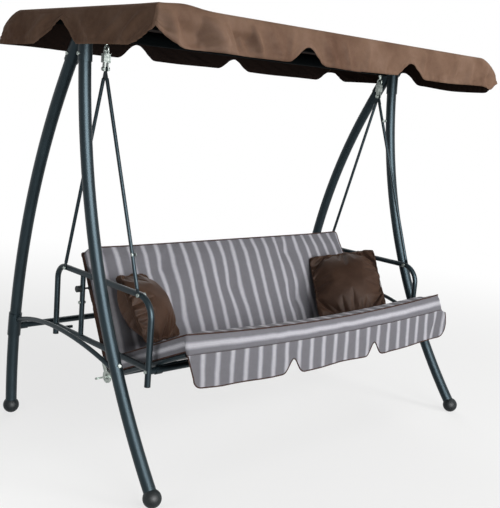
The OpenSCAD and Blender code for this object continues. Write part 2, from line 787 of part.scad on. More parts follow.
// Seat coordinates: Y runs back along the seat, Z is square to it, origin on the pivot axis
module in_seat() {
  translate([0, pivot_y, pivot_z]) rotate([-seat_tilt, 0, 0]) children();
}

// Back coordinates: Z runs up along the back, -Y is its front, origin on the recline hinge
module in_back() {
  translate([0, hinge_y, hinge_z]) rotate([-back_lean, 0, 0]) children();
}

module seat_side_tubes() {
  color(steel) in_seat() both_sides() difference() {
    hollow_y(seat_x, seat_front + saddle, seat_side_end, seat_w0, seat_r, seat_wall);
    along_x(0, seat_width, seat_front, seat_w0, seat_r);
  }
}

module seat_front_tube() {
  color(steel) in_seat() hollow_x(-seat_x - seat_r, seat_x + seat_r, seat_front, seat_w0, seat_r, seat_wall);
}

module seat_rear_tube() {
  color(steel) in_seat() difference() {
    hollow_x(-seat_x + saddle, seat_x - saddle, seat_rear_tube, seat_w0, seat_r, seat_wall);
    both_sides() along_y(seat_x, seat_rear_tube - 3*seat_r, seat_rear_tube + 3*seat_r, seat_w0, seat_r);
  }
}

module seat_saddles() {
  color(steel) in_seat() both_sides() difference() {
    along_x(seat_x - saddle_w/2, seat_x + saddle_w/2, 0, 0, saddle_r);
    along_x(seat_x - saddle_w, seat_x + saddle_w, 0, 0, cross_r + run);
  }
}

module seat_sling() {
  color(brown) in_seat() translate([-seat_width/2 + sling_in, seat_front, seat_w0 + seat_r])
    cube([seat_width - 2*sling_in, seat_rear_tube - seat_front, sling]);
}

// Stations around a rectangle of half sizes a and b, n to a long side and m to a short one
function outline(a, b, n, m) = concat(
  [for (i = [0:n - 1]) [-a + 2*a*i/n, -b]],
  [for (i = [0:m - 1]) [a, -b + 2*b*i/m]],
  [for (i = [0:n - 1]) [a - 2*a*i/n, b]],
  [for (i = [0:m - 1]) [-a, b - 2*b*i/m]]);

// Ring of a pad: the outline drawn in by inset, at a height that sags with the edge
function pad_ring(a, b, inset, z, sag) = [for (p = outline(a, b, 16, 6))
  let (x = p[0]*(a - inset)/a, y = p[1]*(b - inset)/b,
    drop = sag*(1 - pow(x/a, 2))*pow(max(0, -y/b), 3))
  [x, y, z - drop]];

// Boxed cushion with crowned top, drawn-in sides and an edge that sags at -Y
module pad(width, depth, height, rise, sag) {
  a = width/2;
  b = depth/2;
  skin([
    pad_ring(a, b, pad_swell[0], 0, 0),
    pad_ring(a, b, pad_edge, 0, 0),
    pad_ring(a, b, 0, pad_round, 0),
    pad_ring(a, b, pad_draw, height/2, sag/2),
    pad_ring(a, b, 0, height - pad_round, sag),
    pad_ring(a, b, pad_edge, height, sag),
    pad_ring(a, b, pad_swell[0], height + 0.55*rise, sag),
    pad_ring(a, b, pad_swell[1], height + 0.85*rise, sag),
    pad_ring(a, b, pad_swell[2], height + rise, sag)],
    [0, 0, 0], [0, 0, height + rise]);
}

module seat_cushion() {
  color(grey) in_seat() translate([0, (cushion_front + cushion_rear)/2, pad_low])
    pad(seat_width, cushion_rear - cushion_front, cushion, crown, seat_sag);
}

// Skirt station: [x, rise of the hem, fold]
skirt_flap = seat_width/3;
skirt_line = [for (i = [0:2]) for (s = concat(
    [[0, i > 0 ? 1 : 0.5], [22, 0.6], [45, 0.25], [80, 0.04]],
    [[skirt_flap*0.35, 0], [skirt_flap*0.5, 0], [skirt_flap*0.65, 0]],
    [[skirt_flap - 80, 0.04], [skirt_flap - 45, 0.25], [skirt_flap - 22, 0.6]]))
  [-seat_width/2 + i*skirt_flap + s[0], s[1], sin(s[0]/skirt_flap*540)]];
skirt_points = concat(skirt_line, [[seat_width/2, 0.5, 0]]);

module skirt() {
  n = len(skirt_points);
  y0 = cushion_front - skirt_gap;
  rows = [[0, 0, 0, 0], [0.045, 0, 0, 0], [0.35, 1, 0.2, 6], [0.68, 3, 0.5, 13], [1, 5, 1, 20]];
  grid = [for (back = [0, 1]) for (r = rows) for (p = skirt_points)
    [p[0], y0 - (1 - back)*skirt_t + r[3] - r[1]*(1 + p[2])/2,
      skirt_top - r[0]*skirt_drop + r[2]*skirt_notch*p[1]]];
  m = len(rows);
  off = n*m;
  faces = concat(
    [for (k = [0:m - 2]) for (i = [0:n - 2]) for (t = [0, 1])
      let (a = k*n + i) t == 0 ? [a, a + 1, a + n + 1] : [a, a + n + 1, a + n]],
    [for (k = [0:m - 2]) for (i = [0:n - 2]) for (t = [0, 1])
      let (a = off + k*n + i) t == 0 ? [a, a + n + 1, a + 1] : [a, a + n, a + n + 1]],
    [for (i = [0:n - 2]) for (t = [0, 1]) t == 0 ? [i, off + i + 1, i + 1] : [i, off + i, off + i + 1]],
    [for (i = [0:n - 2]) for (t = [0, 1]) let (a = (m - 1)*n + i)
      t == 0 ? [a, a + 1, off + a + 1] : [a, off + a + 1, off + a]],
    [for (k = [0:m - 2]) for (t = [0, 1]) let (a = k*n)
      t == 0 ? [a, a + n, off + a + n] : [a, off + a + n, off + a]],
    [for (k = [0:m - 2]) for (t = [0, 1]) let (a = k*n + n - 1)
      t == 0 ? [a, off + a + n, a + n] : [a, off + a, off + a + n]]);
  color(brown) in_seat() polyhedron(points = grid, faces = faces);
}

// Plates on the seat tubes with the pin that carries the back plates and the levers
module seat_hinge_plates() {
  x0 = seat_width/2;
  color(zinc) in_seat() both_sides() {
    along_x(x0, x0 + hinge_t, seat_reach, seat_w0, hinge_r);
    translate([x0, seat_reach - hinge_arm, seat_w0 - hinge_arm_w/2]) cube([hinge_t, hinge_arm, hinge_arm_w]);
    along_x(x0 + hinge_t - 1, lever_x + hinge_t + rivet, seat_reach, seat_w0, hinge_pin_r);
    along_x(lever_x + hinge_t + hinge_gap, lever_x + hinge_t + hinge_gap + rivet, seat_reach, seat_w0,
      hinge_pin_r + rivet);
  }
}

module back_hinge_plates() {
  x0 = back_plate_x;
  color(zinc) in_back() both_sides() difference() {
    union() {
      along_x(x0, x0 + hinge_t, 0, 0, hinge_r);
      translate([x0, -hinge_arm_w/2, 0]) cube([hinge_t, hinge_arm_w, hinge_arm]);
      translate([seat_width/2, -back_tab_w/2, back_tab])
        cube([x0 - seat_width/2 + 1, back_tab_w, hinge_arm - back_tab]);
    }
    along_x(x0 - over, x0 + hinge_t + over, 0, 0, hinge_pin_r + run);
  }
}

// Recline lever: hub on the hinge pin, arm and grip pointing back and down
module lever() {
  color(zinc) translate([0, hinge_y, hinge_z]) rotate([-lever_drop, 0, 0]) difference() {
    union() {
      along_x(lever_x, lever_x + hinge_t, 0, 0, lever_hub);
      translate([lever_x, 0, -lever_w/2]) cube([hinge_t, lever_len, lever_w]);
      along_y(lever_x + grip_r, lever_len - 2, lever_len - 2 + grip_len, 0, grip_r);
    }
    along_x(lever_x - over, lever_x + hinge_t + over, 0, 0, hinge_pin_r + run);
  }
}

module back_side_tubes() {
  color(steel) in_back() both_sides() difference() {
    translate([seat_x, 0, back_first]) cylinder(h = back_top_tube - back_first - saddle, r = seat_r);
    translate([seat_x, 0, back_first - over])
      cylinder(h = back_top_tube - back_first + 2*over, r = seat_r - seat_wall);
    along_x(0, seat_width, 0, back_top_tube, seat_r);
  }
}

// Top tube over the full width and a bottom tube between the side tubes
module back_cross_tubes() {
  color(steel) in_back() {
    hollow_x(-seat_x - seat_r, seat_x + seat_r, 0, back_top_tube, seat_r, seat_wall);
    difference() {
      hollow_x(-seat_x + saddle, seat_x - saddle, 0, back_first + back_step, seat_r, seat_wall);
      both_sides() translate([seat_x, 0, 0]) cylinder(h = 2*hinge_arm, r = seat_r);
    }
  }
}

module back_sling() {
  color(brown) in_back() translate([-seat_width/2 + sling_in, -seat_r - sling, back_first + back_step])
    cube([seat_width - 2*sling_in, sling, back_top_tube - back_first - back_step]);
}

module back_cushion() {
  low = back_first - sling_in;
  color(grey) in_back() translate([0, -seat_r - sling - pad_play, (low + back_height)/2]) rotate([90, 0, 0])
    pad(seat_width, back_height - low, cushion, crown, 0);
}

// Ring of a pillow: a share of a square with hollowed edges, height falling to its seam
function pillow_ring(share, side) = [for (p = outline(1, 1, 8, 8))
  let (u = p[0]*share, v = p[1]*share)
  [u*(1 - edge_hollow*(1 - v*v))*pillow/2, v*(1 - edge_hollow*(1 - u*u))*pillow/2,
    side*pow(max(0, (1 - u*u)*(1 - v*v)), pillow_swell)*pillow_t/2]];

module pillow_form() {
  shares = [0.3, 0.55, 0.75, 0.89, 0.97];
  skin(concat(
    [for (f = shares) pillow_ring(f, -1)],
    [pillow_ring(1, 0)],
    [for (i = [len(shares) - 1:-1:0]) pillow_ring(shares[i], 1)]),
    [0, 0, -pillow_t/2], [0, 0, pillow_t/2]);
}

// Pose of a pillow: x, place up and off the back, lean from upright, turn about the vertical, roll
module posed_pillow(x, up, off, lean, turn, roll) {
  y = hinge_y + up*sin(back_lean) - off*cos(back_lean);
  z = hinge_z + up*cos(back_lean) + off*sin(back_lean);
  color(brown) translate([x, y, z]) rotate([0, 0, turn]) rotate([-lean, 0, 0]) rotate([0, roll, 0])
    rotate([90, 0, 0]) pillow_form();
}

module left_pillow() {
  posed_pillow(pillow_left_in - seat_width/2, pillow_left_up, pillow_left_off, 37, 37.5, 15.4);
}

module right_pillow() {
  posed_pillow(seat_width/2 - pillow_right_in, pillow_right_up, pillow_right_off, 51.5, -50.8, -13.7);
}

// Hand screw through a middle post that clamps the side of the back
module lock_knob() {
  color(dark) {
    along_x(knob_tip, arm_x + post_mid_r + knob_lap, post_mid, knob_z, screw_r);
    along_x(knob_tip, knob_tip + knob_pad, post_mid, knob_z, knob_pad_r);
    along_x(arm_x + post_mid_r + 1, arm_x + post_mid_r + 1 + knob_t, post_mid, knob_z, knob_r);
  }
}

mirror([1, 0, 0]) leg(true);  // left_front_leg
leg(true);  // right_front_leg
mirror([1, 0, 0]) leg(false);  // left_rear_leg
leg(false);  // right_rear_leg
ball_feet();
mirror([1, 0, 0]) crown_fitting();  // left_crown
crown_fitting();  // right_crown
top_beam();
rear_crossbar();
mirror([1, 0, 0]) t_sleeve();  // left_t_sleeve
t_sleeve();  // right_t_sleeve
mirror([1, 0, 0]) brace();  // left_brace
brace();  // right_brace
frame_screws();
brace_bolts();
mirror([1, 0, 0]) eye_bolt();  // left_eye_bolt
eye_bolt();  // right_eye_bolt
tilt_bolts();
canopy_end_tube(tube_front, true);  // canopy_front_tube
canopy_end_tube(tube_rear, false);  // canopy_rear_tube
canopy_side_tubes();
canopy_cross_tubes();
canopy_plates();
canopy_cloth();
mirror([1, 0, 0]) hanger_block();  // left_hanger_block
hanger_block();  // right_hanger_block
shackles();
mirror([1, 0, 0]) rod(rod_front_y, arm_z, rod_x);  // left_front_rod
mirror([1, 0, 0]) rod(rod_rear_y, arm_z, rod_x - rod_tab);  // left_rear_rod
rod(rod_front_y, arm_z, rod_x);  // right_front_rod
rod(rod_rear_y, arm_z, rod_x - rod_tab);  // right_rear_rod
mirror([1, 0, 0]) arm();  // left_arm
arm();  // right_arm
mirror([1, 0, 0]) side_rail();  // left_side_rail
side_rail();  // right_side_rail
mirror([1, 0, 0]) mid_post();  // left_mid_post
mid_post();  // right_mid_post
front_cross_tube();
rod_bolts();
carriage_bolts();
post_caps();
seat_side_tubes();
seat_front_tube();
seat_rear_tube();
seat_sling();
seat_cushion();
skirt();
seat_hinge_plates();
seat_saddles();
back_side_tubes();
back_cross_tubes();
back_sling();
back_cushion();
back_hinge_plates();
left_pillow();
right_pillow();
mirror([1, 0, 0]) lever();  // left_lever
lever();  // right_lever
mirror([1, 0, 0]) lock_knob();  // left_lock_knob
lock_knob();  // right_lock_knob
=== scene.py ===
import bmesh
import bpy
import numpy as np
from mathutils import Matrix


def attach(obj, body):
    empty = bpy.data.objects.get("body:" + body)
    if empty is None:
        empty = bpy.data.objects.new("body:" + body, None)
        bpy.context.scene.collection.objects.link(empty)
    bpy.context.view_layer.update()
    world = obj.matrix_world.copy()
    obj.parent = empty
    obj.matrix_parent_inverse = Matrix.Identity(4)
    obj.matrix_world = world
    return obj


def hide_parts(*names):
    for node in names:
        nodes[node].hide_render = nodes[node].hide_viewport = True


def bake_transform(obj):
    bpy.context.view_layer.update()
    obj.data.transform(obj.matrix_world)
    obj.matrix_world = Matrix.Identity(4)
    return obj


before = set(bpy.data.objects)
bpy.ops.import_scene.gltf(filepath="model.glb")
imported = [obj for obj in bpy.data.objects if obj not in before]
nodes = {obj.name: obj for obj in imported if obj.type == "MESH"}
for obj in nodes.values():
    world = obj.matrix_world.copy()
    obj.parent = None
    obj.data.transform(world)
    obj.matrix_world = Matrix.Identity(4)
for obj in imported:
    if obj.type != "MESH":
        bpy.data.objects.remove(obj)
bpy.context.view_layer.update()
print("frame loaded:", len(nodes), "nodes")


# small tools

def toLinear(hexText):  # an sRGB hex colour as linear RGBA
    c = np.array([int(hexText[i:i + 2], 16) for i in (1, 3, 5)]) / 255
    lin = np.where(c <= 0.04045, c / 12.92, ((c + 0.055) / 1.055) ** 2.4)
    return (*lin.tolist(), 1.0)


def ease(t):  # smooth step from 0 to 1
    t = np.clip(t, 0, 1)
    return t * t * (3 - 2 * t)


def ripple(t, seed, low, high, count=7):  # sum of sines with seeded waves and phases, about -1 to 1
    rng = np.random.default_rng(seed)
    k = rng.uniform(low, high, count)[:, None]
    p = rng.uniform(0, 2 * np.pi, count)[:, None]
    return np.sin(k * np.ravel(t)[None] + p).mean(0).reshape(np.shape(t)) * 1.6


def pathLength(path):  # how far along a path each of its points lies
    return np.concatenate([[0], np.cumsum(np.linalg.norm(np.diff(path, axis=0), axis=1))])


def numberGrid(shape):  # vertex numbers of a grid of points
    return np.arange(shape[0] * shape[1]).reshape(shape[:2])


def patch(index, uv, flip=False):  # quads of a grid of vertex numbers, with the uv of each corner
    quads = np.stack([index[:-1, :-1], index[1:, :-1], index[1:, 1:], index[:-1, 1:]], -1).reshape(-1, 4)
    corners = np.stack([uv[:-1, :-1], uv[1:, :-1], uv[1:, 1:], uv[:-1, 1:]], 2).reshape(-1, 4, 2)
    return (quads[:, ::-1], corners[:, ::-1]) if flip else (quads, corners)


def buildPiece(name, points, patches, materials, picks=None):  # one mesh from shared points and its patches
    quads = np.concatenate([p[0] for p in patches]).astype(np.int32)
    corners = np.concatenate([p[1] for p in patches]).astype(np.float32)
    mesh = bpy.data.meshes.new(name)
    points = np.asarray(points, np.float32).reshape(-1, 3)
    mesh.vertices.add(len(points))
    mesh.vertices.foreach_set("co", points.ravel())
    mesh.loops.add(quads.size)
    mesh.loops.foreach_set("vertex_index", quads.ravel())
    mesh.polygons.add(len(quads))
    mesh.polygons.foreach_set("loop_start", np.arange(0, quads.size, 4, dtype=np.int32))
    mesh.polygons.foreach_set("use_smooth", np.ones(len(quads), bool))
    if picks is not None:
        chosen = np.concatenate([np.full(len(p[0]), k, np.int32) for p, k in zip(patches, picks)])
        mesh.polygons.foreach_set("material_index", chosen)
    mesh.uv_layers.new(name="cloth").data.foreach_set("uv", corners.ravel())
    for material in materials:
        mesh.materials.append(material)
    mesh.update(calc_edges=True)
    mesh.validate()
    piece = bpy.data.objects.new(name, mesh)
    bpy.context.scene.collection.objects.link(piece)
    return piece


def weld(piece, reach=2e-5):  # joins points that lie on each other
    work = bmesh.new()
    work.from_mesh(piece.data)
    bmesh.ops.remove_doubles(work, verts=work.verts, dist=reach)
    work.to_mesh(piece.data)
    work.free()
    return piece


def addThickness(piece, thick, offset, inner=0):  # inner is the step to the material of the inside
    wall = piece.modifiers.new("thickness", "SOLIDIFY")
    wall.thickness, wall.offset, wall.material_offset = thick, offset, inner


def rimOf(index):  # the border of a grid of vertex numbers, counter-clockwise, not closed
    return np.concatenate([index[:-1, 0], index[-1, :-1], index[:0:-1, -1], index[0, :0:-1]])


def cordTube(name, path, axis, radius, material, closed=False, sides=10, flat=1.0):
    # a round profile carried along a path; the profile's first axis is path direction x axis
    path = np.asarray(path, float)
    if closed:
        run = np.roll(path, -1, 0) - np.roll(path, 1, 0)
    else:
        run = np.gradient(path, axis=0)
    run /= np.linalg.norm(run, axis=1, keepdims=True)
    side = np.cross(run, np.broadcast_to(axis, path.shape))
    side /= np.linalg.norm(side, axis=1, keepdims=True)
    up = np.cross(side, run)
    turn = np.linspace(0, 2 * np.pi, sides, endpoint=False)
    rings = path[:, None] + radius * (np.cos(turn)[None, :, None] * side[:, None]
                                      + flat * np.sin(turn)[None, :, None] * up[:, None])
    count = len(path)
    length = pathLength(path)
    points = rings.reshape(-1, 3)
    index = numberGrid((count, sides))
    if closed:
        index = np.concatenate([index, index[:1]])
        length = np.append(length, length[-1] + np.linalg.norm(path[-1] - path[0]))
    index = np.concatenate([index, index[:, :1]], 1)
    around = np.linspace(0, 2 * np.pi * radius, sides + 1)
    uv = np.stack(np.broadcast_arrays(around[None], length[:, None]), -1)
    patches = [patch(index, uv, flip=True)]
    if not closed:  # end discs drawn in to a point
        points = np.concatenate([points, path[:1], path[-1:]])
        for ring, tip, turned in ((index[0], count * sides, False), (index[-1], count * sides + 1, True)):
            both = np.stack([ring, np.full(sides + 1, tip)])
            patches.append(patch(both, np.zeros((2, sides + 1, 2)), flip=turned))
    return weld(buildPiece(name, points, patches, [material]))


# the seat and the back have frames of their own: x, along the cushion, off its face
places = dict(seatPivot=(-0.333, 0.437), seatTilt=24.8, backPivot=(-0.002557, 0.312955), backLean=27.0)


def onSeat(x, u, w):
    t = np.radians(places["seatTilt"])
    y = places["seatPivot"][0] + u * np.cos(t) + w * np.sin(t)
    z = places["seatPivot"][1] - u * np.sin(t) + w * np.cos(t)
    return np.stack(np.broadcast_arrays(x, y, z), -1)


def onBack(x, s, w):
    t = np.radians(places["backLean"])
    y = places["backPivot"][0] + s * np.sin(t) - w * np.cos(t)
    z = places["backPivot"][1] + s * np.cos(t) + w * np.sin(t)
    return np.stack(np.broadcast_arrays(x, y, z), -1)


# materials

def addNode(tree, kind, values=None, links=None, **settings):
    # settings are the node's properties, values its plain inputs, links feed inputs from outputs
    node = tree.nodes.new("ShaderNode" + kind)
    for key, value in settings.items():
        setattr(node, key, value)
    for key, value in (values or {}).items():
        node.inputs[key].default_value = value
    for key, source in (links or {}).items():
        tree.links.new(source, node.inputs[key])
    return node


def startMaterial(name, values, onCloth=False):  # spot is the place on the cloth, or in the object, in metres
    material = bpy.data.materials.new(name)
    material.use_nodes = True
    tree = material.node_tree
    shader = tree.nodes["Principled BSDF"]
    for key, value in values.items():
        shader.inputs[key].default_value = value
    if onCloth:
        spot = addNode(tree, "UVMap", uv_map="cloth").outputs["UV"]
    else:
        spot = addNode(tree, "TexCoord").outputs["Object"]
    return material, tree, shader, spot


def finishMaterial(tree, shader, colour, rough=None, height=None, strength=0.0, deep=0.0012):
    # joins colour, roughness and bump to the shader
    tree.links.new(colour, shader.inputs["Base Color"])
    if rough is not None:
        tree.links.new(rough, shader.inputs["Roughness"])
    if height is not None:
        bump = addNode(tree, "Bump", {"Strength": strength, "Distance": deep}, {"Height": height})
        tree.links.new(bump.outputs["Normal"], shader.inputs["Normal"])


def paintStops(ramp, stops):  # (place, hex) stops of a colour ramp
    ramp.color_ramp.interpolation = "LINEAR"
    elements = ramp.color_ramp.elements
    while len(elements) < len(stops):
        elements.new(0.5)
    for element, (place, hexText) in zip(elements, stops):
        element.position = place
        element.color = toLinear(hexText)
    return ramp.outputs["Color"]


def powderCoatedSteel(name, dark, light, dust, rough, gloss):
    # baked polyester powder on tube: dark green-grey, an even gloss with faint orange peel and dust;
    # the real grain is 1 mm, drawn at 6 mm to show
    look = dict(peel=0.006, cloud=0.12, uneven=0.06, tint="#c4e0ee")
    values = {"Specular IOR Level": gloss, "Specular Tint": toLinear(look["tint"])}
    material, tree, shader, spot = startMaterial(name, values)
    cloud = addNode(tree, "TexNoise", {"Scale": 1 / look["cloud"], "Detail": 6.0, "Roughness": 0.6},
                    {"Vector": spot}).outputs["Fac"]
    ramp = addNode(tree, "ValToRGB", links={"Fac": cloud})
    colour = paintStops(ramp, [(0.3, dark), (0.62, light), (0.9, dust)])
    peel = addNode(tree, "TexNoise", {"Scale": 1 / look["peel"], "Detail": 2.0}, {"Vector": spot})
    patchy = addNode(tree, "MapRange", {"To Min": rough - look["uneven"], "To Max": rough + look["uneven"]},
                     {"Value": cloud})
    finishMaterial(tree, shader, colour, patchy.outputs["Result"], peel.outputs["Fac"], 0.05, 0.002)
    return material


def zincPlatedSteel():
    # bright zinc with a chromate film: pale green-white metal, slightly blotched
    look = dict(pale="#b3bab5", dull="#78837f", blotch=0.007, smooth=0.32, rough=0.52)
    material, tree, shader, spot = startMaterial("zincPlatedSteel", {"Metallic": 0.9, "Roughness": 0.4})
    blotch = addNode(tree, "TexNoise", {"Scale": 1 / look["blotch"], "Detail": 4.0},
                     {"Vector": spot}).outputs["Fac"]
    ramp = addNode(tree, "ValToRGB", links={"Fac": blotch})
    colour = paintStops(ramp, [(0.35, look["dull"]), (0.6, look["pale"])])
    rough = addNode(tree, "MapRange", {"To Min": look["smooth"], "To Max": look["rough"]}, {"Value": blotch})
    finishMaterial(tree, shader, colour, rough.outputs["Result"])
    return material


def mouldedPolypropylene():
    # injection-moulded black plastic: satin, spark-eroded grain, paler where scuffed
    look = dict(black="#1d2224", scuff="#343b3d", wear=38.0, grain=0.004)
    values = {"Roughness": 0.5, "IOR": 1.49, "Specular IOR Level": 0.2}
    material, tree, shader, spot = startMaterial("mouldedPolypropylene", values)
    scuff = addNode(tree, "TexNoise", {"Scale": look["wear"], "Detail": 7.0, "Roughness": 0.7},
                    {"Vector": spot})
    ramp = addNode(tree, "ValToRGB", links={"Fac": scuff.outputs["Fac"]})
    colour = paintStops(ramp, [(0.45, look["black"]), (0.75, look["scuff"])])
    grain = addNode(tree, "TexNoise", {"Scale": 1 / look["grain"], "Detail": 3.0}, {"Vector": spot})
    finishMaterial(tree, shader, colour, None, grain.outputs["Fac"], 0.12, 0.001)
    return material


def plainWeave(tree, spot, thread, stray, detail):
    # warp and weft waves multiplied; a wave texture repeats every 0.314 / scale
    wave = {"Scale": 0.31416 / thread, "Distortion": stray, "Detail": detail}
    warp = addNode(tree, "TexWave", wave, {"Vector": spot}, bands_direction="X").outputs["Fac"]
    weft = addNode(tree, "TexWave", wave, {"Vector": spot}, bands_direction="Y").outputs["Fac"]
    return addNode(tree, "Math", links={0: warp, 1: weft}, operation="MULTIPLY").outputs[0]


def shadeBy(tree, colour, value, most, low, high):
    # the colour times low to high as the value runs from 0 to most
    shade = addNode(tree, "MapRange", {"From Max": most, "To Min": low, "To Max": high}, {"Value": value})
    tint = addNode(tree, "Mix", {"Factor": 1.0}, {6: colour, 7: shade.outputs["Result"]},
                   data_type="RGBA", blend_type="MULTIPLY")
    return tint.outputs[2]


def wovenCloth(name, stops, values, weaveStrength=0.25, cloud=0.25, wrinkle=0.0, thread=0.003):
    # plain weave on the piece's own uv in metres with soft clouds of shade; real threads are
    # under 1 mm, drawn at 3 mm to show; wrinkle is the size of the creases, 0 for none
    material, tree, shader, spot = startMaterial(name, values, onCloth=True)
    cloudy = addNode(tree, "TexNoise", {"Scale": 1 / cloud, "Detail": 8.0, "Roughness": 0.62},
                     {"Vector": spot})
    ramp = addNode(tree, "ValToRGB", links={"Fac": cloudy.outputs["Fac"]})
    weave = plainWeave(tree, spot, thread, 0.6, 1.0)
    colour = shadeBy(tree, paintStops(ramp, stops), weave, 1.0, 0.82, 1.1)
    height = weave
    if wrinkle:
        creases = addNode(tree, "TexNoise", {"Scale": 1 / wrinkle, "Detail": 3.0, "Distortion": 0.8},
                          {"Vector": spot})
        height = addNode(tree, "Math", {1: 6.0}, {0: creases.outputs["Fac"], 2: weave},
                         operation="MULTIPLY_ADD").outputs[0]
    finishMaterial(tree, shader, colour, None, height, weaveStrength)
    return material


stripes = dict(pitch=0.074, phase=0.30, ground="#7c7b81", edge="#9a99a1", light="#bcbbc2", core="#cdccd2",
               thread=0.0030, drift=9.0, wander=0.012, slub=60.0)
# the bands of one repeat, from its start at 0 to its end at 1
bands = [(0.0, "ground"), (0.27, "ground"), (0.34, "edge"), (0.41, "light"), (0.47, "core"), (0.50, "light"),
         (0.53, "core"), (0.59, "light"), (0.66, "edge"), (0.73, "ground"), (1.0, "ground")]


def stripedPolycotton(s):
    # yarn-dyed striped ticking: grey ground, pale bands of three lines, matt, visible cross threads;
    # the yarns wander a few mm
    values = {"Roughness": 0.86, "Sheen Weight": 0.06, "Sheen Roughness": 0.5, "Specular IOR Level": 0.12}
    material, tree, shader, spot = startMaterial("stripedPolycotton", values, onCloth=True)
    drift = addNode(tree, "TexNoise", {"Scale": s["drift"], "Detail": 2.0}, {"Vector": spot})
    across = addNode(tree, "SeparateXYZ", links={"Vector": spot})
    wander = addNode(tree, "Math", {1: s["wander"]}, {0: drift.outputs["Fac"], 2: across.outputs["X"]},
                     operation="MULTIPLY_ADD")
    count = addNode(tree, "Math", {1: 1 / s["pitch"], 2: s["phase"]}, {0: wander.outputs[0]},
                    operation="MULTIPLY_ADD")
    part = addNode(tree, "Math", links={0: count.outputs[0]}, operation="FRACT")
    ramp = addNode(tree, "ValToRGB", links={"Fac": part.outputs[0]})
    colour = paintStops(ramp, [(place, s[shade]) for place, shade in bands])
    weave = plainWeave(tree, spot, s["thread"], 1.2, 2.0)
    slub = addNode(tree, "TexNoise", {"Scale": s["slub"], "Detail": 6.0, "Roughness": 0.7}, {"Vector": spot})
    both = addNode(tree, "Math", links={0: weave, 1: slub.outputs["Fac"]}, operation="ADD").outputs[0]
    finishMaterial(tree, shader, shadeBy(tree, colour, both, 1.5, 0.78, 1.17), None, both, 0.3)
    return material


steel = powderCoatedSteel("powderCoatedSteel", "#10171a", "#192327", "#2a363b", 0.40, 0.34)
# the tubes under the canopy: the same powder made matt, with its colours painted near black as shade under
# the canopy
canopyTubeSteelPaintedShade = powderCoatedSteel("canopyTubePowderPaintedShade", "#0a0d0e", "#0f1314", "#131819", 0.80, 0.02)
zinc = zincPlatedSteel()
plastic = mouldedPolypropylene()
ticking = stripedPolycotton(stripes)
# coated polyester canvas, piece-dyed brown: matt, fine weave, faint creases from folding
canvas = wovenCloth("coatedPolyesterCanvas", [(0.34, "#6c5142"), (0.52, "#866a58"), (0.72, "#997d6c")],
                    {"Roughness": 0.66, "Sheen Weight": 0.0, "Specular IOR Level": 0.04}, 0.2, 0.28, 0.09)
# the canopy's inside: smooth cloth whose near-black colour is painted shade for the dark under the canopy
canopyInsideShade = wovenCloth("canopyInsidePaintedShade", [(0.3, "#1c110c"), (0.7, "#281912")],
                     {"Roughness": 0.8, "Specular IOR Level": 0.06}, 0.15, 0.3)
# pillow covers in filament satin: long floats give a soft streaky gloss
satinLook = {"Roughness": 0.55, "Sheen Weight": 0.02, "Sheen Roughness": 0.35, "Specular IOR Level": 0.08}
satin = wovenCloth("brownPolyesterSatin", [(0.3, "#422f25"), (0.55, "#503b2f"), (0.8, "#5d473a")], satinLook,
                   0.12, 0.12, 0.05, thread=0.0028)
# backing, slings and bias binding in plain brown polyester
backing = wovenCloth("brownBackingCloth", [(0.3, "#33211a"), (0.7, "#453026")],
                     {"Roughness": 0.75, "Specular IOR Level": 0.12}, 0.3, 0.2)
binding = wovenCloth("brownBiasBinding", [(0.3, "#3a251f"), (0.7, "#4f372f")],
                     {"Roughness": 0.7, "Specular IOR Level": 0.15}, 0.3, 0.05)

# every other node is powder-coated steel
finishes = [(zinc, ("frame_screws", "brace_bolts", "left_eye_bolt", "right_eye_bolt", "tilt_bolts",
                    "left_hanger_block", "right_hanger_block", "shackles", "rod_bolts", "carriage_bolts",
                    "seat_hinge_plates", "back_hinge_plates", "left_lever", "right_lever")),
            # the canopy's tubes and beam take the steel painted near black for the shade under the canopy
            (canopyTubeSteelPaintedShade, ("top_beam", "canopy_front_tube", "canopy_rear_tube", "canopy_side_tubes",
                         "canopy_cross_tubes")),
            (plastic, ("ball_feet", "post_caps", "left_lock_knob", "right_lock_knob"))]
finishOf = {name: material for material, names in finishes for name in names}
for nodeName, nodeObject in nodes.items():
    nodeObject.data.materials.clear()
    nodeObject.data.materials.append(finishOf.get(nodeName, steel))
print("materials on the frame")


# canopy: one sheet over the tube frame, its valance cut into flaps
canopy = dict(halfWidth=1.0365, front=-0.5345, rear=0.5755, top=1.7925, corners=(0.022, 0.022, 0.022, 0.006),
              edge=0.0135, drop=0.137, flare=0.012, sag=0.013, ribs=(-0.5345, -0.16, 0.205, 0.5755),
              bend=0.1745, overTube=0.165, droop=(0.62, 4.2), lift=(0.010, -0.915, 0.075, 0.09),
              hemFold=0.016, turnUp=(0.92, 0.5, 0.0), proud=0.0009, lowEnd=0.02, hemWave=0.004, crease=0.002,
              longWave=0.007, shortWave=0.0035, pucker=0.0020, dent=(0.004, 0.026), foldRise=1.5,
              rings=22, ridgeSteps=75, rows=16, around=1040, thickness=0.0012, seam=0.0022, seamOut=0.0012)
# how far each corner of the cloth hangs down outside the bend of the tube: x side, y side, share
cornerDroop = [(1, -1, 1.0), (-1, 1, 1.0), (1, 1, 0.75)]
# notches of the hem: x, y, depth, half width before and after it counter-clockwise,
# and 0 for a round one or the power of a pointed one
notches = [(-0.325, -0.5345, 0.062, 0.115, 0.115, 0), (0.328, -0.5345, 0.058, 0.115, 0.115, 0),
           (1.0365, 0.049, 0.062, 0.115, 0.115, 0), (0.289, 0.5755, 0.054, 0.115, 0.115, 0),
           (-0.33, 0.5755, 0.067, 0.115, 0.115, 0), (-1.0365, 0.058, 0.090, 0.20, 0.112, 1.08),
           (-1.0365, -0.5345, 0.052, 0.15, 0.13, 1.9), (-1.0365, -0.5345, 0.063, 0.011, 0.011, 1.0),
           (1.0365, -0.5345, 0.044, 0.07, 0.07, 0), (1.0365, 0.5755, 0.05, 0.11, 0.11, 0)]
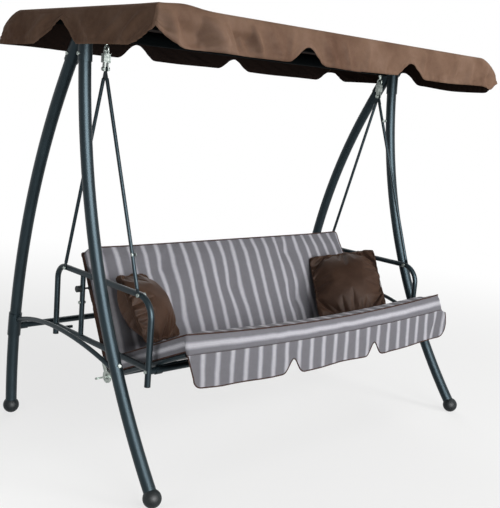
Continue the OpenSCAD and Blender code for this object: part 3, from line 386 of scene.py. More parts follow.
# soft folds of the valance: place at the top and at the hem, half width, height
folds = dict(
    front=[(-0.990, -0.968, 0.030, 0.018), (-0.905, -0.865, 0.045, -0.030), (-0.805, -0.755, 0.045, 0.026),
           (-0.610, -0.560, 0.015, 0.010), (-0.400, -0.430, 0.014, 0.007), (-0.110, -0.070, 0.015, 0.006),
           (0.050, 0.020, 0.014, 0.006), (0.430, 0.400, 0.014, 0.007), (0.690, 0.640, 0.014, 0.007),
           (-0.690, -0.650, 0.036, -0.020), (-0.640, -0.610, 0.022, -0.012), (-0.745, -0.690, 0.014, 0.009),
           (-0.690, -0.632, 0.012, 0.008), (-0.520, -0.455, 0.030, 0.007), (-0.230, -0.160, 0.025, 0.007),
           (0.180, 0.120, 0.030, 0.006), (0.560, 0.500, 0.040, 0.007), (0.800, 0.760, 0.020, 0.008),
           (0.940, 0.865, 0.018, 0.009), (0.985, 0.915, 0.016, -0.008)],
    left=[(-0.470, -0.330, 0.030, 0.011), (-0.360, -0.200, 0.028, 0.008), (-0.060, -0.190, 0.035, 0.010),
          (0.180, 0.300, 0.050, 0.010), (0.500, 0.400, 0.040, 0.008)])


def roundedLoop(halfWidth, front, rear, corners, count):
    # a rectangle with four corner radii, counter-clockwise from the middle of its front, even in length
    turn = np.linspace(0, np.pi / 2, 24)
    line = [[[0.0, front]]]
    starts = (-np.pi / 2, 0, np.pi / 2, np.pi)
    for corner, sideX, sideY, start in zip(corners, (1, 1, -1, -1), (-1, 1, 1, -1), starts):
        cx, cy = sideX * (halfWidth - corner), (front if sideY < 0 else rear) - sideY * corner
        line.append(np.stack([cx + corner * np.cos(turn + start), cy + corner * np.sin(turn + start)], -1))
    line = np.concatenate([*line, [[0.0, front]]])
    length = pathLength(line)
    at = np.linspace(0, length[-1], count, endpoint=False)
    loop = np.stack([np.interp(at, length, line[:, k]) for k in (0, 1)], -1)
    out = np.roll(loop, -1, 0) - np.roll(loop, 1, 0)
    out = np.stack([out[:, 1], -out[:, 0]], -1)
    return loop, out / np.linalg.norm(out, axis=1, keepdims=True), at, length[-1]


def canopyHeight(flat, c):
    # the cloth dips between the tubes it lies on, falls away outside the bends
    # and stands up a little by the front left corner
    x, y = flat.T
    ribs = np.array(c["ribs"])
    span = np.clip(np.searchsorted(ribs, y) - 1, 0, len(ribs) - 2)
    low, high = ribs[span], ribs[span + 1]
    dip = np.abs(np.sin(np.pi * np.clip((y - low) / (high - low), 0, 1))) ** 1.2
    height = c["top"] - c["sag"] * dip * ease((c["halfWidth"] - np.abs(x)) / 0.3)
    for sideX, sideY, share in cornerDroop:
        middleY = c["front"] + c["bend"] if sideY < 0 else c["rear"] - c["bend"]
        awayX = np.maximum(sideX * x - c["halfWidth"] + c["bend"], 0)
        awayY = np.maximum(sideY * (y - middleY), 0)
        away = np.maximum(np.hypot(awayX, awayY) - c["overTube"], 0)
        height = height - share * (c["droop"][0] * away + c["droop"][1] * away ** 2)
    rise, riseX, wideX, wideY = c["lift"]
    return height + rise * np.exp(-((x - riseX) / wideX) ** 2 - ((y - c["front"]) / wideY) ** 2)


def hemHeight(loop, at, total, c):
    # the valance's drop less its notches, lower at the right end towards the front, slightly wavy
    cut = np.zeros(len(loop))
    for x, y, depth, before, after, pointed in notches:
        k = np.argmin(np.hypot(loop[:, 0] - x, loop[:, 1] - y))
        away = (at - at[k] + total / 2) % total - total / 2
        a = np.where(away < 0, -away / before, away / after)
        if pointed:
            form = np.clip(1.03 - np.hypot(a, 0.03), 0, 1) ** pointed
        else:
            form = (0.5 + 0.5 * np.cos(np.pi * np.clip(a, 0, 1))) ** 1.2
        cut = np.maximum(cut, depth * form)
    right = ease((loop[:, 0] - 0.9) / 0.13) * ease((0.0 - loop[:, 1]) / 0.3)
    return c["top"] - (c["drop"] - cut + c["lowEnd"] * right + c["hemWave"] * ripple(at, 3, 4, 14))


def valanceWave(loop, at, f, share, c):
    # long and short waves that grow down the valance, the folds, and puckers along the hem's stitching
    wave = c["longWave"] * ripple(at, 21, 6, 26) + c["shortWave"] * ripple(at + 0.3 * f, 22, 30, 70)
    wave = wave * ease(share * 1.2)
    full = np.sin(np.pi * np.clip(0.08 + 0.8 * share, 0, 1))  # a fold stands out most past mid height
    sides = dict(front=(loop[:, 0], loop[:, 1] < c["front"] + 1e-4),
                 left=(loop[:, 1], loop[:, 0] < -c["halfWidth"] + 1e-4))
    for side, (along, here) in sides.items():
        for high, low, half, raised in folds[side]:
            line = high + (low - high) * share
            wave = wave + here * c["foldRise"] * raised * np.exp(-((along - line) / half) ** 2) * full
    wave = wave + c["pucker"] * ripple(at, 23, 110, 260) * ease((share - 0.62) / 0.25)
    return np.maximum(wave, -c["dent"][0] * share - c["dent"][1] * ease((share - 0.2) / 0.4))


def canopySheet(c):
    # the top is the loop drawn in ring by ring to a ridge line, then the valance goes round the tube
    # and down to the hem, whose last three rows are turned up
    loop, out, at, total = roundedLoop(c["halfWidth"], c["front"], c["rear"], c["corners"], c["around"])
    ridge = c["halfWidth"] - (c["rear"] - c["front"]) / 2
    step = ridge / c["ridgeSteps"]  # front and rear rings end on the same places of the ridge
    ridgeX = np.round(np.clip(loop[:, 0], -ridge, ridge) / step) * step
    seat = np.stack([ridgeX, np.full(len(loop), (c["front"] + c["rear"]) / 2)], -1)
    inset = loop - out * c["edge"]
    rows, uv = [], []
    for t in np.linspace(1, 0, c["rings"], endpoint=False) ** 1.3:
        flat = inset + (seat - inset) * t
        crease = c["crease"] * ripple(flat[:, 0], 11, 5, 22) * ease((1 - t) * 1.5) * ease(t * 8)
        rows.append(np.column_stack([flat, canopyHeight(flat, c) + np.maximum(crease, 0)]))
        uv.append(flat)
    rim = canopyHeight(loop, c)
    for a in np.linspace(0, np.pi / 2, 6):
        blend = canopyHeight(inset, c) * (1 - np.sin(a)) + rim * np.sin(a)
        height = blend - c["edge"] * (1 - np.cos(a))
        rows.append(np.column_stack([inset + out * c["edge"] * np.sin(a), height]))
        uv.append(inset + out * c["edge"] * a)
    drop = np.maximum(rim - c["edge"] - hemHeight(loop, at, total, c), 0.012)
    hung = np.maximum(drop - c["hemFold"], 0.004)
    falls = [(f, f * hung, 0.0) for f in np.linspace(0, 1, c["rows"] + 1)[1:]]
    falls += [(1.0, drop - c["hemFold"] * up, c["proud"]) for up in c["turnUp"]]
    for f, fall, proud in falls:
        fall = np.maximum(fall, 0.006 * f)
        share = np.clip(fall / drop, 0, 1)
        push = c["edge"] + c["flare"] * share + valanceWave(loop, at, f, share, c) + proud
        rows.append(np.column_stack([inset + out * push[:, None], rim - c["edge"] - fall]))
        uv.append(inset + out * (c["edge"] * np.pi / 2 + fall)[:, None])
    points, chart = np.stack(rows), np.stack(uv)
    index = numberGrid(points.shape)
    return points, np.concatenate([index, index[:, :1]], 1), np.concatenate([chart, chart[:, :1]], 1)


canopyPoints, canopyIndex, canopyChart = canopySheet(canopy)
canopyPatch = patch(canopyIndex, canopyChart)
# the sheet's inside takes the cloth painted near black as shade under the canopy
canopyCloth = weld(buildPiece("canopyCloth", canopyPoints, [canopyPatch], [canvas, canopyInsideShade]))
addThickness(canopyCloth, canopy["thickness"], 1.0, inner=1)
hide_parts("canopy_cloth")
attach(canopyCloth, "canopy")
edge = canopyPoints[canopy["rings"]:]  # from the top of the edge tube down to the hem
seamSides = (("FrontLeft", -1, -1), ("FrontRight", 1, -1), ("RearRight", 1, 1), ("RearLeft", -1, 1))
for name, sideX, sideY in seamSides:
    k = np.argmin(np.hypot(edge[0, :, 0] - 2 * sideX, edge[0, :, 1] - 2 * sideY))
    away = np.array([sideX, sideY, 0.0]) / np.sqrt(2)
    line = edge[:, k] + canopy["seamOut"] * away
    seam = cordTube("canopySeam" + name, line, away, canopy["seam"], canvas, flat=0.5)
    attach(seam, "canopy")
print("canopy sheet")


# padded pieces swell by cloth simulation with inner air pressure
def swell(piece, held, pressure, frames, cap, stiff=12.0, slack=0.0):
    # returns the piece's points after the run, none moved further than cap;
    # slack is cloth to spare, which buckles at the seams
    mesh = piece.data
    start = np.empty(len(mesh.vertices) * 3, np.float32)
    mesh.vertices.foreach_get("co", start)
    start = start.reshape(-1, 3)
    scene = bpy.context.scene
    piece.vertex_groups.new(name="held").add(np.asarray(held).tolist(), 1.0, "REPLACE")
    cloth = piece.modifiers.new("swell", "CLOTH")
    s = cloth.settings
    s.quality, s.mass, s.air_damping = 5, 0.25, 2.0
    s.tension_stiffness = s.compression_stiffness = stiff
    s.shear_stiffness, s.bending_stiffness = stiff / 2, 0.6
    s.use_pressure, s.uniform_pressure_force = True, pressure
    s.shrink_min = s.shrink_max = -slack
    s.effector_weights.gravity = 0.0
    s.vertex_group_mass = "held"
    cloth.point_cache.frame_start, cloth.point_cache.frame_end = 1, frames
    for f in range(1, frames + 1):
        scene.frame_set(f)
    shown = piece.evaluated_get(bpy.context.evaluated_depsgraph_get())
    end = np.empty(start.size, np.float32)
    shown.data.vertices.foreach_get("co", end)
    piece.modifiers.remove(cloth)
    piece.vertex_groups.clear()
    scene.frame_set(1)
    move = end.reshape(-1, 3) - start
    far = np.linalg.norm(move, axis=1, keepdims=True)
    return start + move * np.minimum(1, cap / np.maximum(far, 1e-9))


def padGrid(p):
    # a boxed cushion: top and bottom panels are one rounded rectangle on a grid, joined by a strip of boxing
    a = np.linspace(-1, 1, p["across"])[:, None]
    b = np.linspace(-1, 1, p["along"])[None]
    x, d = np.broadcast_arrays(a * p["width"] / 2, b * p["depth"] / 2)
    r = np.where(d < 0, p["frontCorner"], p["corner"])
    px = np.clip((np.abs(x) - p["width"] / 2 + r) / r, 0, 1)
    pd = np.clip((np.abs(d) - p["depth"] / 2 + r) / r, 0, 1)
    both = (px > 0) & (pd > 0)  # a square corner is pressed into a quarter disc
    x = np.where(both, np.sign(x) * (p["width"] / 2 - r + r * px * np.sqrt(1 - pd ** 2 / 2)), x)
    d = np.where(both, np.sign(d) * (p["depth"] / 2 - r + r * pd * np.sqrt(1 - px ** 2 / 2)), d)
    x = x - a * p["drawIn"] * (1 - b ** 2)  # sides draw in between the corners
    d = d - b * p["drawIn"] * (1 - a ** 8)
    rise = p["crown"] * (1 - np.abs(a) ** 8) * (1 - np.abs(b) ** 4) ** 0.7
    top = np.stack([x, d, p["height"] + rise], -1)
    bottom = np.stack([x, d, np.zeros_like(rise)], -1)
    count = x.size
    topIndex = numberGrid(x.shape)
    bottomIndex = topIndex + count
    rimTop, rimBottom = rimOf(topIndex), rimOf(bottomIndex)
    points = np.concatenate([top.reshape(-1, 3), bottom.reshape(-1, 3)])
    f = np.linspace(0, 1, p["boxRows"] + 1)[1:-1][:, None, None]
    outward = points[rimTop] * [1, 1, 0]
    outward = np.stack([outward[:, 0] / p["width"], outward[:, 1] / p["depth"], outward[:, 2]], -1)
    outward = np.sign(outward) * np.abs(outward) ** 8
    outward /= np.linalg.norm(outward, axis=1, keepdims=True) + 1e-12
    strip = points[rimTop] * (1 - f) + points[rimBottom] * f + outward * p["boxBulge"] * np.sin(np.pi * f)
    between = 2 * count + numberGrid((f.size, len(rimTop)))
    stripIndex = np.concatenate([rimTop[None], between, rimBottom[None]])
    points = np.concatenate([points, strip.reshape(-1, 3)])
    length = pathLength(points[np.append(rimTop, rimTop[0])])
    stripIndex = np.concatenate([stripIndex, stripIndex[:, :1]], 1)
    panelUv = np.stack([x + p["stripeShift"] * stripes["pitch"], d], -1)
    # boxing is cut along the stripes
    lift = np.linspace(p["boxTop"], p["boxLow"], p["boxRows"] + 1)[:, None] * stripes["pitch"]
    boxUv = np.stack(np.broadcast_arrays(lift, length[None]), -1)
    patches = [patch(topIndex, panelUv), patch(stripIndex, boxUv), patch(bottomIndex, panelUv, flip=True)]
    return points, patches, rimTop, rimBottom, topIndex, bottomIndex, stripIndex


def placePad(piece, held, p, onFrame):  # swells a pad and puts it on the frame of the seat or the back
    held = np.unique(np.concatenate(held))
    points = swell(piece, held, p["pressure"], p["frames"], p["cap"], slack=p["slack"])
    world = onFrame(points[:, 0], points[:, 1] + p["middle"], points[:, 2] + p["low"])
    piece.data.vertices.foreach_set("co", world.astype(np.float32).ravel())
    piece.data.update()
    return world


seatPad = dict(width=1.60, depth=0.511, height=0.060, corner=0.045, frontCorner=0.010, drawIn=0.003,
               crown=0.003, across=161, along=53, boxRows=8, boxBulge=0.003, boxTop=-0.12 - stripes["phase"],
               boxLow=0.92 - stripes["phase"], middle=0.0175, low=0.0388, sag=0.030, rearSag=0.4,
               lip=(0.020, 0.0), lipAt=-0.2255, flare=0.016, puff=0.012, puffRise=0.05, puffFall=0.12,
               pressure=2.5, frames=20, cap=0.007, slack=0.01, stripeShift=0.1, piping=0.0032, seam=0.0024)
backPad = dict(width=1.60, depth=0.534, height=0.060, corner=0.022, frontCorner=0.03, drawIn=0.005,
               crown=0.008, across=161, along=55, boxRows=7, boxBulge=0.005, boxTop=0.10 - stripes["phase"],
               boxLow=0.9 - stripes["phase"], middle=0.281, low=0.0128, taper=0.030,
               pressure=3.0, frames=20, cap=0.012, slack=0.01, stripeShift=0.36, piping=0.0032, seam=0.0030,
               tufts=[(-0.453, 0.427), (0.346, 0.458), (-0.05, 0.306), (0.335, 0.208), (-0.42, 0.19)],
               tuftDepth=0.016, tuftReach=0.06)


def seatNose(points, p):
    # the seat sags between its ends, most at the front, its face is plump behind the front piping,
    # and the boxing hangs as a lip in front of the tube, pulled out at its left end
    x, d, h = points.T.copy()
    u = d + p["middle"]
    bow = np.clip(1 - (x / (p["width"] / 2)) ** 2, 0, 1)
    deep = 1 - (1 - p["rearSag"]) * np.clip(d / p["depth"] + 0.5, 0, 1)
    share = np.clip(h / p["height"], 0, 1.3)
    low = (p["lip"][0] + (p["lip"][1] - p["lip"][0]) * bow) - p["low"]
    lip = ease((p["lipAt"] - u) / 0.005)
    behind = d + p["depth"] / 2
    plump = ease(behind / p["puffRise"]) * (1 - ease((behind - p["puffRise"]) / p["puffFall"]))
    plump = plump * (1 - np.clip(np.abs(x) / (p["width"] / 2), 0, 1) ** 8)
    h = h + p["puff"] * plump * (share > 0.99)
    h = h - p["sag"] * bow * deep * share + lip * low * np.clip(1 - share, 0, 1)
    x = x - p["flare"] * lip * np.clip(1 - share, 0, 1) * ease((-x - 0.70) / 0.1)
    return np.stack([x, d, h], -1)


def seatCushion(p):
    points, patches, rimTop, rimBottom, topIndex, bottomIndex, stripIndex = padGrid(p)
    points = seatNose(points, p)
    piece = buildPiece("seatCushion", points, patches, [ticking, backing], [0, 0, 1])
    strip = stripIndex[2:].ravel()
    front = strip[points[strip, 1] + p["middle"] < -0.2]  # the front boxing keeps its shape
    world = placePad(piece, [bottomIndex.ravel(), stripIndex[-2:].ravel(), front, rimTop], p, onSeat)
    return piece, world[rimTop], world[rimBottom]


def backCushion(p):
    points, patches, rimTop, rimBottom, topIndex, bottomIndex, stripIndex = padGrid(p)
    panel = points[:topIndex.size]
    # the pad is drawn in at the top right
    high, right = points[:, 1] + p["middle"] - 0.33, points[:, 0] - 0.3
    points[:, 0] -= p["taper"] * ease(high / 0.2) * ease(right / 0.5)
    held = [bottomIndex.ravel(), rimBottom, rimTop]
    for x, s in p["tufts"]:  # a tuft ties the face down, with a soft dimple round it
        away = np.hypot(panel[:, 0] - x, panel[:, 1] + p["middle"] - s)
        panel[:, 2] -= p["tuftDepth"] * np.exp(-(away / p["tuftReach"] * 2) ** 1.3)
        held.append(np.argsort(away)[:3])
    piece = buildPiece("backCushion", points, patches, [ticking, backing], [0, 0, 1])
    world = placePad(piece, held, p, onBack)
    return piece, world[rimTop], world[rimBottom]


seatPiece, seatRim, seatLow = seatCushion(seatPad)
seatNormal = onSeat(0, 0, 1.0) - onSeat(0, 0, 0.0)
seatPiping = cordTube("seatPiping", seatRim, seatNormal, seatPad["piping"], binding, closed=True)
seatSeam = cordTube("seatSeam", seatLow, seatNormal, seatPad["seam"], binding, closed=True)
backPiece, backRim, backLow = backCushion(backPad)
backNormal = onBack(0, 0, 1.0) - onBack(0, 0, 0.0)
backPiping = cordTube("backPiping", backRim, backNormal, backPad["piping"], binding, closed=True)
backSeam = cordTube("backSeam", backLow, backNormal, backPad["seam"], binding, closed=True)
padPieces = dict(seat=(seatPiece, seatPiping, seatSeam), backrest=(backPiece, backPiping, backSeam))
for body, pieces in padPieces.items():
    for piece in pieces:
        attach(piece, body)
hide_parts("seat_cushion")
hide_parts("back_cushion")
print("cushions")


# skirt: three flaps hanging from the boxing, bound at their edges
skirt = dict(left=-0.815, right=0.812, slant=(0.030, 0.036), top=(0.020, 0.0),
             notch=0.056, notches=(-0.255, 0.270), notchHalf=0.078,
             hemX=(-0.75, -0.64, -0.47, -0.30, -0.19, 0.03, 0.24, 0.35, 0.63, 0.77),
             hemW=(-0.103, -0.113, -0.117, -0.121, -0.128, -0.121, -0.122, -0.125, -0.112, -0.106),
             cornerLeft=0.040, cornerRight=0.060, lean=0.051, plumb=0.125, face=-0.2405, crease=(0.745, 0.05),
             across=560, down=28, thickness=0.0014, stripeShift=0.15, flatDeep=0.160, binding=0.0028)


def skirtSheet(k):
    # x runs along the seam, f from the seam down to the hem; the hem rises at the notches
    # and round the two ends, and the cloth hangs plumb
    f = np.linspace(0, 1, k["down"])[:, None]
    left, right = k["left"] + k["slant"][0] * f, k["right"] + k["slant"][1] * f ** 0.8
    x = left + (right - left) * np.linspace(0, 1, k["across"])[None]
    bow = np.clip(1 - (x / 0.8) ** 2, 0, 1)
    top = k["top"][0] + (k["top"][1] - k["top"][0]) * bow - 0.014 * ease((x - 0.785) / 0.03)
    hem = np.interp(x, k["hemX"], k["hemW"]) + 0.0025 * ripple(x, 5, 10, 24)
    for place in k["notches"]:
        t = np.clip(np.abs(x - place) / k["notchHalf"], 0, 1)
        hem = hem + k["notch"] * (0.5 + 0.5 * np.cos(np.pi * t)) ** 2.2
    for end, corner in ((x - left, k["cornerLeft"]), (right - x, k["cornerRight"])):
        near = np.clip(1 - end / corner, 0, 0.999)
        hem = hem + corner * (1 - np.sqrt(1 - near ** 2))
    w = top + (hem - top) * f
    wave = 0.004 * ripple(x, 31, 8, 24) * f + 0.0016 * ripple(x, 32, 35, 70) * f ** 1.5
    past = x - (k["crease"][0] - k["crease"][1] * f)  # the right end folds back round the corner
    endFold = 0.016 * ease(past / 0.022) * f - 0.006 * np.exp(-((past + 0.022) / 0.02) ** 2) * f
    u = k["face"] + k["lean"] * (top - w) / k["plumb"] + wave + endFold
    return onSeat(x, u, w), np.stack([x + k["stripeShift"] * stripes["pitch"], -w], -1)


skirtPoints, skirtChart = skirtSheet(skirt)
skirtPatch = patch(numberGrid(skirtPoints.shape), skirtChart)
skirtPiece = buildPiece("seatSkirt", skirtPoints, [skirtPatch], [ticking, backing])
addThickness(skirtPiece, skirt["thickness"], -1.0, inner=1)
border = np.concatenate([skirtPoints[:, 0], skirtPoints[-1, 1:], skirtPoints[-2::-1, -1]])
skirtFace = onSeat(0, -1.0, 0.0) - onSeat(0, 0.0, 0.0)
skirtHem = cordTube("skirtBinding", border, skirtFace, skirt["binding"], binding)
for piece in (skirtPiece, skirtHem):
    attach(piece, "seat")
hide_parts("skirt")
print("skirt")


# pillows: two square panels sewn at the edge and swollen, then leaned into the corners
pillow = dict(size=0.352, thick=0.132, forward=0.012, count=73, start=0.030, hollow=0.050, gather=0.004,
              slack=0.09, pressure=4.0, frames=26, cap=0.07, stiff=9.0, seam=0.0016, arm=0.797, give=0.0125)
pillowPoses = dict(
    leftPillow=dict(centre=(-0.682, -0.0720, 0.6110), lean=39.0, turn=36.1, roll=10.0, tall=0.92, fat=1.35,
                    node="left_pillow", quarter=0),
    rightPillow=dict(centre=(0.5488, -0.1200, 0.6206), lean=45.5, turn=-53.8, roll=-17.0, tall=1.09, fat=1.0,
                     node="right_pillow", quarter=1))


def pillowForm(p):
    # front and back panels share their edge, which is held; sides a little hollow and corners rounded,
    # with small gathers along the seam
    a = np.linspace(-1, 1, p["count"])
    x, z = np.meshgrid(a, a, indexing="ij")
    dome = ((1 - x ** 2) * (1 - z ** 2)) ** 0.5
    square = 1 - 0.06 * (x * z) ** 6
    gather = p["gather"] * ripple(np.arctan2(z, x), 41, 20, 46) * np.maximum(np.abs(x), np.abs(z)) ** 8
    px = x * (1 - p["hollow"] * (1 - z ** 2)) * square * (1 + gather)
    pz = z * (1 - p["hollow"] * (1 - x ** 2)) * square * (1 + gather)
    half = p["size"] / 2
    high = p["start"]
    front = np.stack([px * half, -dome * high, pz * half], -1)
    back = front * [1, -1, 1]
    frontIndex = numberGrid(x.shape)
    backIndex = frontIndex + x.size
    rim = rimOf(frontIndex)
    backIndex.ravel()[rim] = rim
    chart = np.stack([x * half, z * half], -1)
    patches = [patch(frontIndex, chart), patch(backIndex, chart, flip=True)]
    points = np.concatenate([front.reshape(-1, 3), back.reshape(-1, 3)])
    piece = buildPiece("pillowBlank", points, patches, [satin])
    used = np.unique(np.concatenate([frontIndex.ravel(), backIndex.ravel()]))
    points = swell(piece, rim, p["pressure"], p["frames"], p["cap"], stiff=p["stiff"], slack=p["slack"])
    low, high = points[used].min(0), points[used].max(0)
    print("pillow swollen to", np.round((high - low) * 1000).tolist(), "mm")
    points[:, 1] *= p["thick"] / (high[1] - low[1])
    bpy.data.objects.remove(piece)
    return points, patches, rim


pillowPoints, pillowPatches, pillowRim = pillowForm(pillow)
for name, pose in pillowPoses.items():
    turned = pillowPoints
    if pose["quarter"]:
        turned = np.stack([pillowPoints[:, 2], -pillowPoints[:, 1], pillowPoints[:, 0]], -1)
    # turned about z, leaned back about x and rolled in its own plane about y
    angles = ((pose["turn"], "Z"), (-pose["lean"], "X"), (pose["roll"], "Y"))
    turn, lean, roll = [Matrix.Rotation(np.radians(angle), 3, axis) for angle, axis in angles]
    spin = np.array(turn @ lean @ roll)
    own = turned * [1, pose["fat"], pose["tall"]] - [0, pillow["forward"], 0]
    world = own @ spin.T + np.array(pose["centre"])
    past = np.maximum(np.abs(world[:, 0]) - pillow["arm"], 0)  # flattened where it meets the arm
    world[:, 0] -= np.sign(world[:, 0]) * (past - pillow["give"] * (1 - np.exp(-past / pillow["give"])))
    piece = buildPiece(name, world, pillowPatches, [satin])
    loose = bmesh.new()  # the back panel's own rim points are not used
    loose.from_mesh(piece.data)
    bmesh.ops.delete(loose, geom=[v for v in loose.verts if not v.link_faces], context="VERTS")
    bmesh.ops.recalc_face_normals(loose, faces=loose.faces)
    loose.to_mesh(piece.data)
    loose.free()
    finer = piece.modifiers.new("finer", "SUBSURF")
    finer.levels = finer.render_levels = 1
    thin = spin @ np.array([0, 1.0, 0])
    welt = cordTube(name + "Seam", world[pillowRim], thin, pillow["seam"], satin, closed=True, sides=8)
    for part in (piece, welt):
        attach(part, "backrest")
    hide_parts(pose["node"])
print("pillows")


# seat sling: brown cloth stretched between the tubes under the cushion
seatSling = dict(halfWidth=0.798, front=-0.236, rear=0.298, low=0.0362, thick=0.0020, across=60, along=24)
x, d = np.meshgrid(np.linspace(-seatSling["halfWidth"], seatSling["halfWidth"], seatSling["across"]),
                   np.linspace(seatSling["front"], seatSling["rear"], seatSling["along"]), indexing="ij")
slingPatch = patch(numberGrid(x.shape), np.stack([x, d], -1))
slingPoints = onSeat(x, d, np.full(x.shape, seatSling["low"]))
seatSlingPiece = buildPiece("seatSling", slingPoints, [slingPatch], [backing])
addThickness(seatSlingPiece, seatSling["thick"], 1.0)
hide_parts("seat_sling")
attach(seatSlingPiece, "seat")

# back sling: a hood over the back frame, its edge turned round the side and top tubes and hemmed behind them
backSling = dict(tubeX=0.790, low=0.086, top=0.5345, wrap=0.0116, turnIn=0.040, corner=0.001, rest=0.311,
                 restHalf=0.014, flatRows=24, thick=0.0010, edgeWide=0.154, edgeDeep=0.078)


def backHood(b):
    # a U-shaped edge line carries a profile that goes round the tube; the panel between is a flat grid
    turn = np.linspace(0, np.pi / 2, 10)
    side, top, r = b["tubeX"], b["top"], b["corner"]
    up = np.linspace(b["low"], top - r, 80)
    across = np.linspace(r - side, side - r, 90)
    line = np.concatenate([np.stack([np.full(80, -side), up], -1),
                           np.stack([r - side - r * np.cos(turn), top - r + r * np.sin(turn)], -1)[1:-1],
                           np.stack([across, np.full(90, top)], -1),
                           np.stack([side - r + r * np.sin(turn), top - r + r * np.cos(turn)], -1)[1:-1],
                           np.stack([np.full(80, side), up[::-1]], -1)])
    run = np.gradient(line, axis=0)
    out = np.stack([-run[:, 1], run[:, 0]], -1) / np.linalg.norm(run, axis=1, keepdims=True)
    a = np.linspace(0, np.pi, 13)
    reach = np.concatenate([b["wrap"] * np.sin(a), np.linspace(0, -b["turnIn"], 6)[1:]])
    lift = np.concatenate([b["wrap"] * np.cos(a), np.full(5, -b["wrap"])])
    # at a corner the cloth stands out squarer to cover the tube's end,
    # and its turned-in edge is gathered, not crossed over
    slant = (2 * out[:, 0] * out[:, 1]) ** 2
    share = np.clip(reach / b["wrap"], 0, 1)[:, None]
    full = np.where(share > 0, b["wrap"] * (1 + 0.25 * slant) * share ** (1 - 0.4 * slant), reach[:, None])
    inner = np.maximum(full, np.where(slant > 0.01, -0.9 * r, -1.0)[None])
    high = np.repeat(lift[:, None], len(line), 1)
    # the cloth is cut away behind the tube where the rest pegs bear on it
    bare = np.abs(line[:, 1] - b["rest"]) < b["restHalf"]
    inner[7:, bare], high[7:, bare] = inner[6, bare], high[6, bare]
    edge = line[None] + out[None] * inner[..., None]
    edgePoints = onBack(edge[..., 0], edge[..., 1], high)
    length, girth = pathLength(line), pathLength(np.stack([reach, lift], -1))
    edgeChart = np.stack(np.broadcast_arrays(length[None], girth[:, None]), -1)
    x, d = np.meshgrid(np.linspace(-side, side, 60), np.linspace(b["low"], top, b["flatRows"]), indexing="ij")
    panel = onBack(x, d, np.full(x.shape, b["wrap"]))
    edgeIndex = numberGrid(edge.shape)
    panelIndex = edgeIndex.size + numberGrid(x.shape)
    patches = [patch(edgeIndex, edgeChart, flip=True), patch(panelIndex, np.stack([x, d], -1))]
    points = np.concatenate([edgePoints.reshape(-1, 3), panel.reshape(-1, 3)])
    return points, patches, length[-1] * girth[-1] + 2 * side * (top - b["low"])


hoodPoints, hoodPatches, hoodArea = backHood(backSling)
backSlingPiece = buildPiece("backSling", hoodPoints, hoodPatches, [backing])
addThickness(backSlingPiece, backSling["thick"], 0.0)
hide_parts("back_sling")
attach(backSlingPiece, "backrest")
print("slings")


# crease gusset: cloth joining the two cushions, folded away
gusset = dict(halfWidth=0.785, across=90,
              path=[(0.2745, 0.0394), (0.2752, 0.046), (0.2765, 0.0515), (0.2778, 0.046), (0.279, 0.0400),
                    (0.295, 0.0395), (0.315, 0.0394), (0.339, 0.0392)])
line = np.array(gusset["path"])
x, k = np.meshgrid(np.linspace(-gusset["halfWidth"], gusset["halfWidth"], gusset["across"]),
                   np.arange(len(line)), indexing="ij")
reach = pathLength(line)
gussetPatch = patch(numberGrid(x.shape), np.stack([x, reach[k]], -1))
gussetPiece = buildPiece("creaseGusset", onSeat(x, line[k, 0], line[k, 1]), [gussetPatch], [backing])
onSeat(0, 0.279, 0.04).tolist()
onSeat(0, 0.339, 0.04).tolist()
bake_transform(gussetPiece)
print("crease gusset")


# small domed bolts through the front rods, head outside and nut inside: side, y and z of each
rodBolt = dict(radius=0.0075, dome=0.0045, hold=0.0076, x=0.850,
               spots=[(-1, -0.212, 0.879), (1, -0.009, 1.455)])
turn = np.linspace(0, 2 * np.pi, 25)[None]
profile = np.array([(0.0, 1.0), (0.45, 0.93), (0.8, 0.6), (0.95, 0.25), (1.0, 0.0), (0.8, -0.1), (0.0, -0.1)])
ring = profile[:, :1] * rodBolt["radius"]
out = rodBolt["hold"] + profile[:, 1:] * rodBolt["dome"]
for side, y, z in rodBolt["spots"]:
    for face in (-1, 1):
        grid = np.stack(np.broadcast_arrays(side * rodBolt["x"] + face * out, y + ring * np.cos(turn),
                                            z + ring * np.sin(turn)), -1)
        boltPatch = patch(numberGrid(grid.shape), grid[..., 1:], flip=face < 0)
        boltName = f"rodBolt{'L' if side < 0 else 'R'}{'Out' if face == side else 'In'}"
        piece = weld(buildPiece(boltName, grid, [boltPatch], [zinc]))
        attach(piece, "swing")
print("rod bolts")


# floor, light and camera
studio = dict(floor="#f2f2f0", bounce="#8c8c8a", glow=0.7, near=1.7, far=5.0, ambient=0.17, half=30, beam=30)
# name, place, aim, size, power in watts, and the rays that don't see it
lamps = [("keyLamp", (-1.2, -5.0, 2.0), (0, 0, 1.0), (2.6, 3.0), 82.0, ()),
         ("topLamp", (0.6, -1.4, 4.4), (0, 0, 0.9), (2.4, 2.0), 20.0, ()),
         ("rimLamp", (2.8, 3.4, 3.0), (0, 0, 0.9), (2.0, 2.0), 60.0, ()),
         # rakes the front from the right, so that folds show
         ("sideLamp", (2.6, -4.6, 2.2), (0, 0, 1.0), (1.6, 2.4), 130.0, ("camera", "glossy")),
         # a sheet of light seen only as the tubes' highlight
         ("glossLamp", (-1.6, -4.8, 1.8), (-0.3, -0.2, 0.9), (4.6, 3.4), 1000.0, ("camera", "diffuse")),
         # lifts the shaded side of the seat
         ("lowLamp", (-2.1, -0.3, 0.45), (-0.8, -0.25, 0.50), (1.0, 0.4), 6.5, ("camera", "glossy")),
         # a narrow beam under the canopy to the back
         ("seatLamp", (-0.4, -3.4, 2.2), (0, 0.1, 0.6), (1.6, 0.5), 1.0, ("camera", "glossy"))]


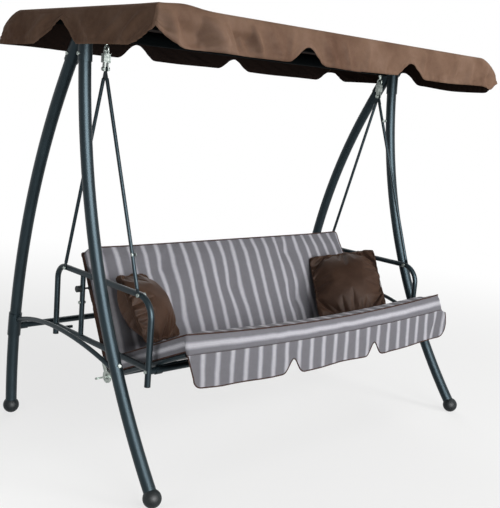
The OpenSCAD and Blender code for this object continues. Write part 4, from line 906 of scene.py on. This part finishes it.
def seenDirectly(tree):  # 1 for rays of the camera and for those that a mirror or glass turns, else 0
    rays = addNode(tree, "LightPath").outputs
    mirrored = addNode(tree, "Math", links={0: rays["Is Glossy Ray"], 1: rays["Is Transmission Ray"]},
                       operation="MAXIMUM").outputs[0]
    direct = {0: rays["Is Camera Ray"], 1: mirrored}
    return addNode(tree, "Math", links=direct, operation="MAXIMUM").outputs[0]


paper = {"Roughness": 1.0, "Specular IOR Level": 0.0}
floorMaterial, tree, shader, spot = startMaterial("studioFloor", paper)
seen = seenDirectly(tree)
paint = addNode(tree, "Mix", {6: toLinear(studio["bounce"]), 7: toLinear(studio["floor"])}, {0: seen},
                data_type="RGBA")
tree.links.new(paint.outputs[2], shader.inputs["Base Color"])
far = addNode(tree, "VectorMath", links={0: spot}, operation="LENGTH")
fading = {"From Min": studio["near"], "From Max": studio["far"], "To Min": studio["glow"], "To Max": 1.0}
fade = addNode(tree, "MapRange", fading, {"Value": far.outputs["Value"]}, interpolation_type="SMOOTHSTEP")
amount = addNode(tree, "Math", links={0: fade.outputs["Result"], 1: seen}, operation="MULTIPLY")
# the paper sweep runs out to plain white
white = addNode(tree, "Emission", {"Color": (1, 1, 1, 1), "Strength": 1.0})
sweep = addNode(tree, "MixShader", links={0: amount.outputs[0], 1: shader.outputs[0], 2: white.outputs[0]})
tree.links.new(sweep.outputs[0], tree.nodes["Material Output"].inputs["Surface"])
grid = studio["half"] * np.array([(-1, -1, 0), (1, -1, 0), (1, 1, 0), (-1, 1, 0)], float)
floor = buildPiece("floor", grid, [(np.array([[0, 1, 2, 3]]), np.zeros((1, 4, 2)))], [floorMaterial])
world = bpy.data.worlds.new("studio")
bpy.context.scene.world = world
world.use_nodes = True
tree = world.node_tree
back = tree.nodes["Background"]
seen = seenDirectly(tree)
strength = addNode(tree, "MapRange", {"To Min": studio["ambient"], "To Max": 1.0}, {"Value": seen})
tree.links.new(strength.outputs["Result"], back.inputs["Strength"])
back.inputs["Color"].default_value = (1, 1, 1, 1)


def axesMatrix(right, up, away, place):  # an object's axes and place as its matrix
    return Matrix((*zip(right, up, away, place), (0, 0, 0, 1)))


for name, place, aim, size, power, unseen in lamps:
    lamp = bpy.data.lights.new(name, "AREA")
    lamp.shape, lamp.size, lamp.size_y, lamp.energy = "RECTANGLE", size[0], size[1], power
    holder = bpy.data.objects.new(name, lamp)
    bpy.context.scene.collection.objects.link(holder)
    away = np.array(place, float) - np.array(aim, float)
    away /= np.linalg.norm(away)
    right = np.cross((0, 0, 1), away)
    right /= np.linalg.norm(right)
    holder.matrix_world = axesMatrix(right, np.cross(away, right), away, place)
    for ray in unseen:
        setattr(holder, "visible_" + ray, False)
bpy.data.lights["seatLamp"].spread = np.radians(studio["beam"])

view = dict(place=(-2.7116, -2.8608, 1.4926), yaw=0.7522, pitch=0.1772, roll=0.0801, lens=60.52)
cy, sy, cp, sp = np.cos(view["yaw"]), np.sin(view["yaw"]), np.cos(view["pitch"]), np.sin(view["pitch"])
ahead = np.array([sy * cp, cy * cp, -sp])
level = np.array([cy, -sy, 0])
above = np.cross(level, ahead)
right = np.cos(view["roll"]) * level + np.sin(view["roll"]) * above
up = -np.sin(view["roll"]) * level + np.cos(view["roll"]) * above
lens = bpy.data.cameras.new("photoCamera")
lens.lens, lens.sensor_width, lens.sensor_fit = view["lens"], 36.0, "HORIZONTAL"
lens.clip_end = 60.0
camera = bpy.data.objects.new("photoCamera", lens)
bpy.context.scene.collection.objects.link(camera)
camera.matrix_world = axesMatrix(right, up, -ahead, view["place"])
bpy.context.scene.camera = camera
bpy.context.scene.view_settings.view_transform = "Standard"
print("stage set")
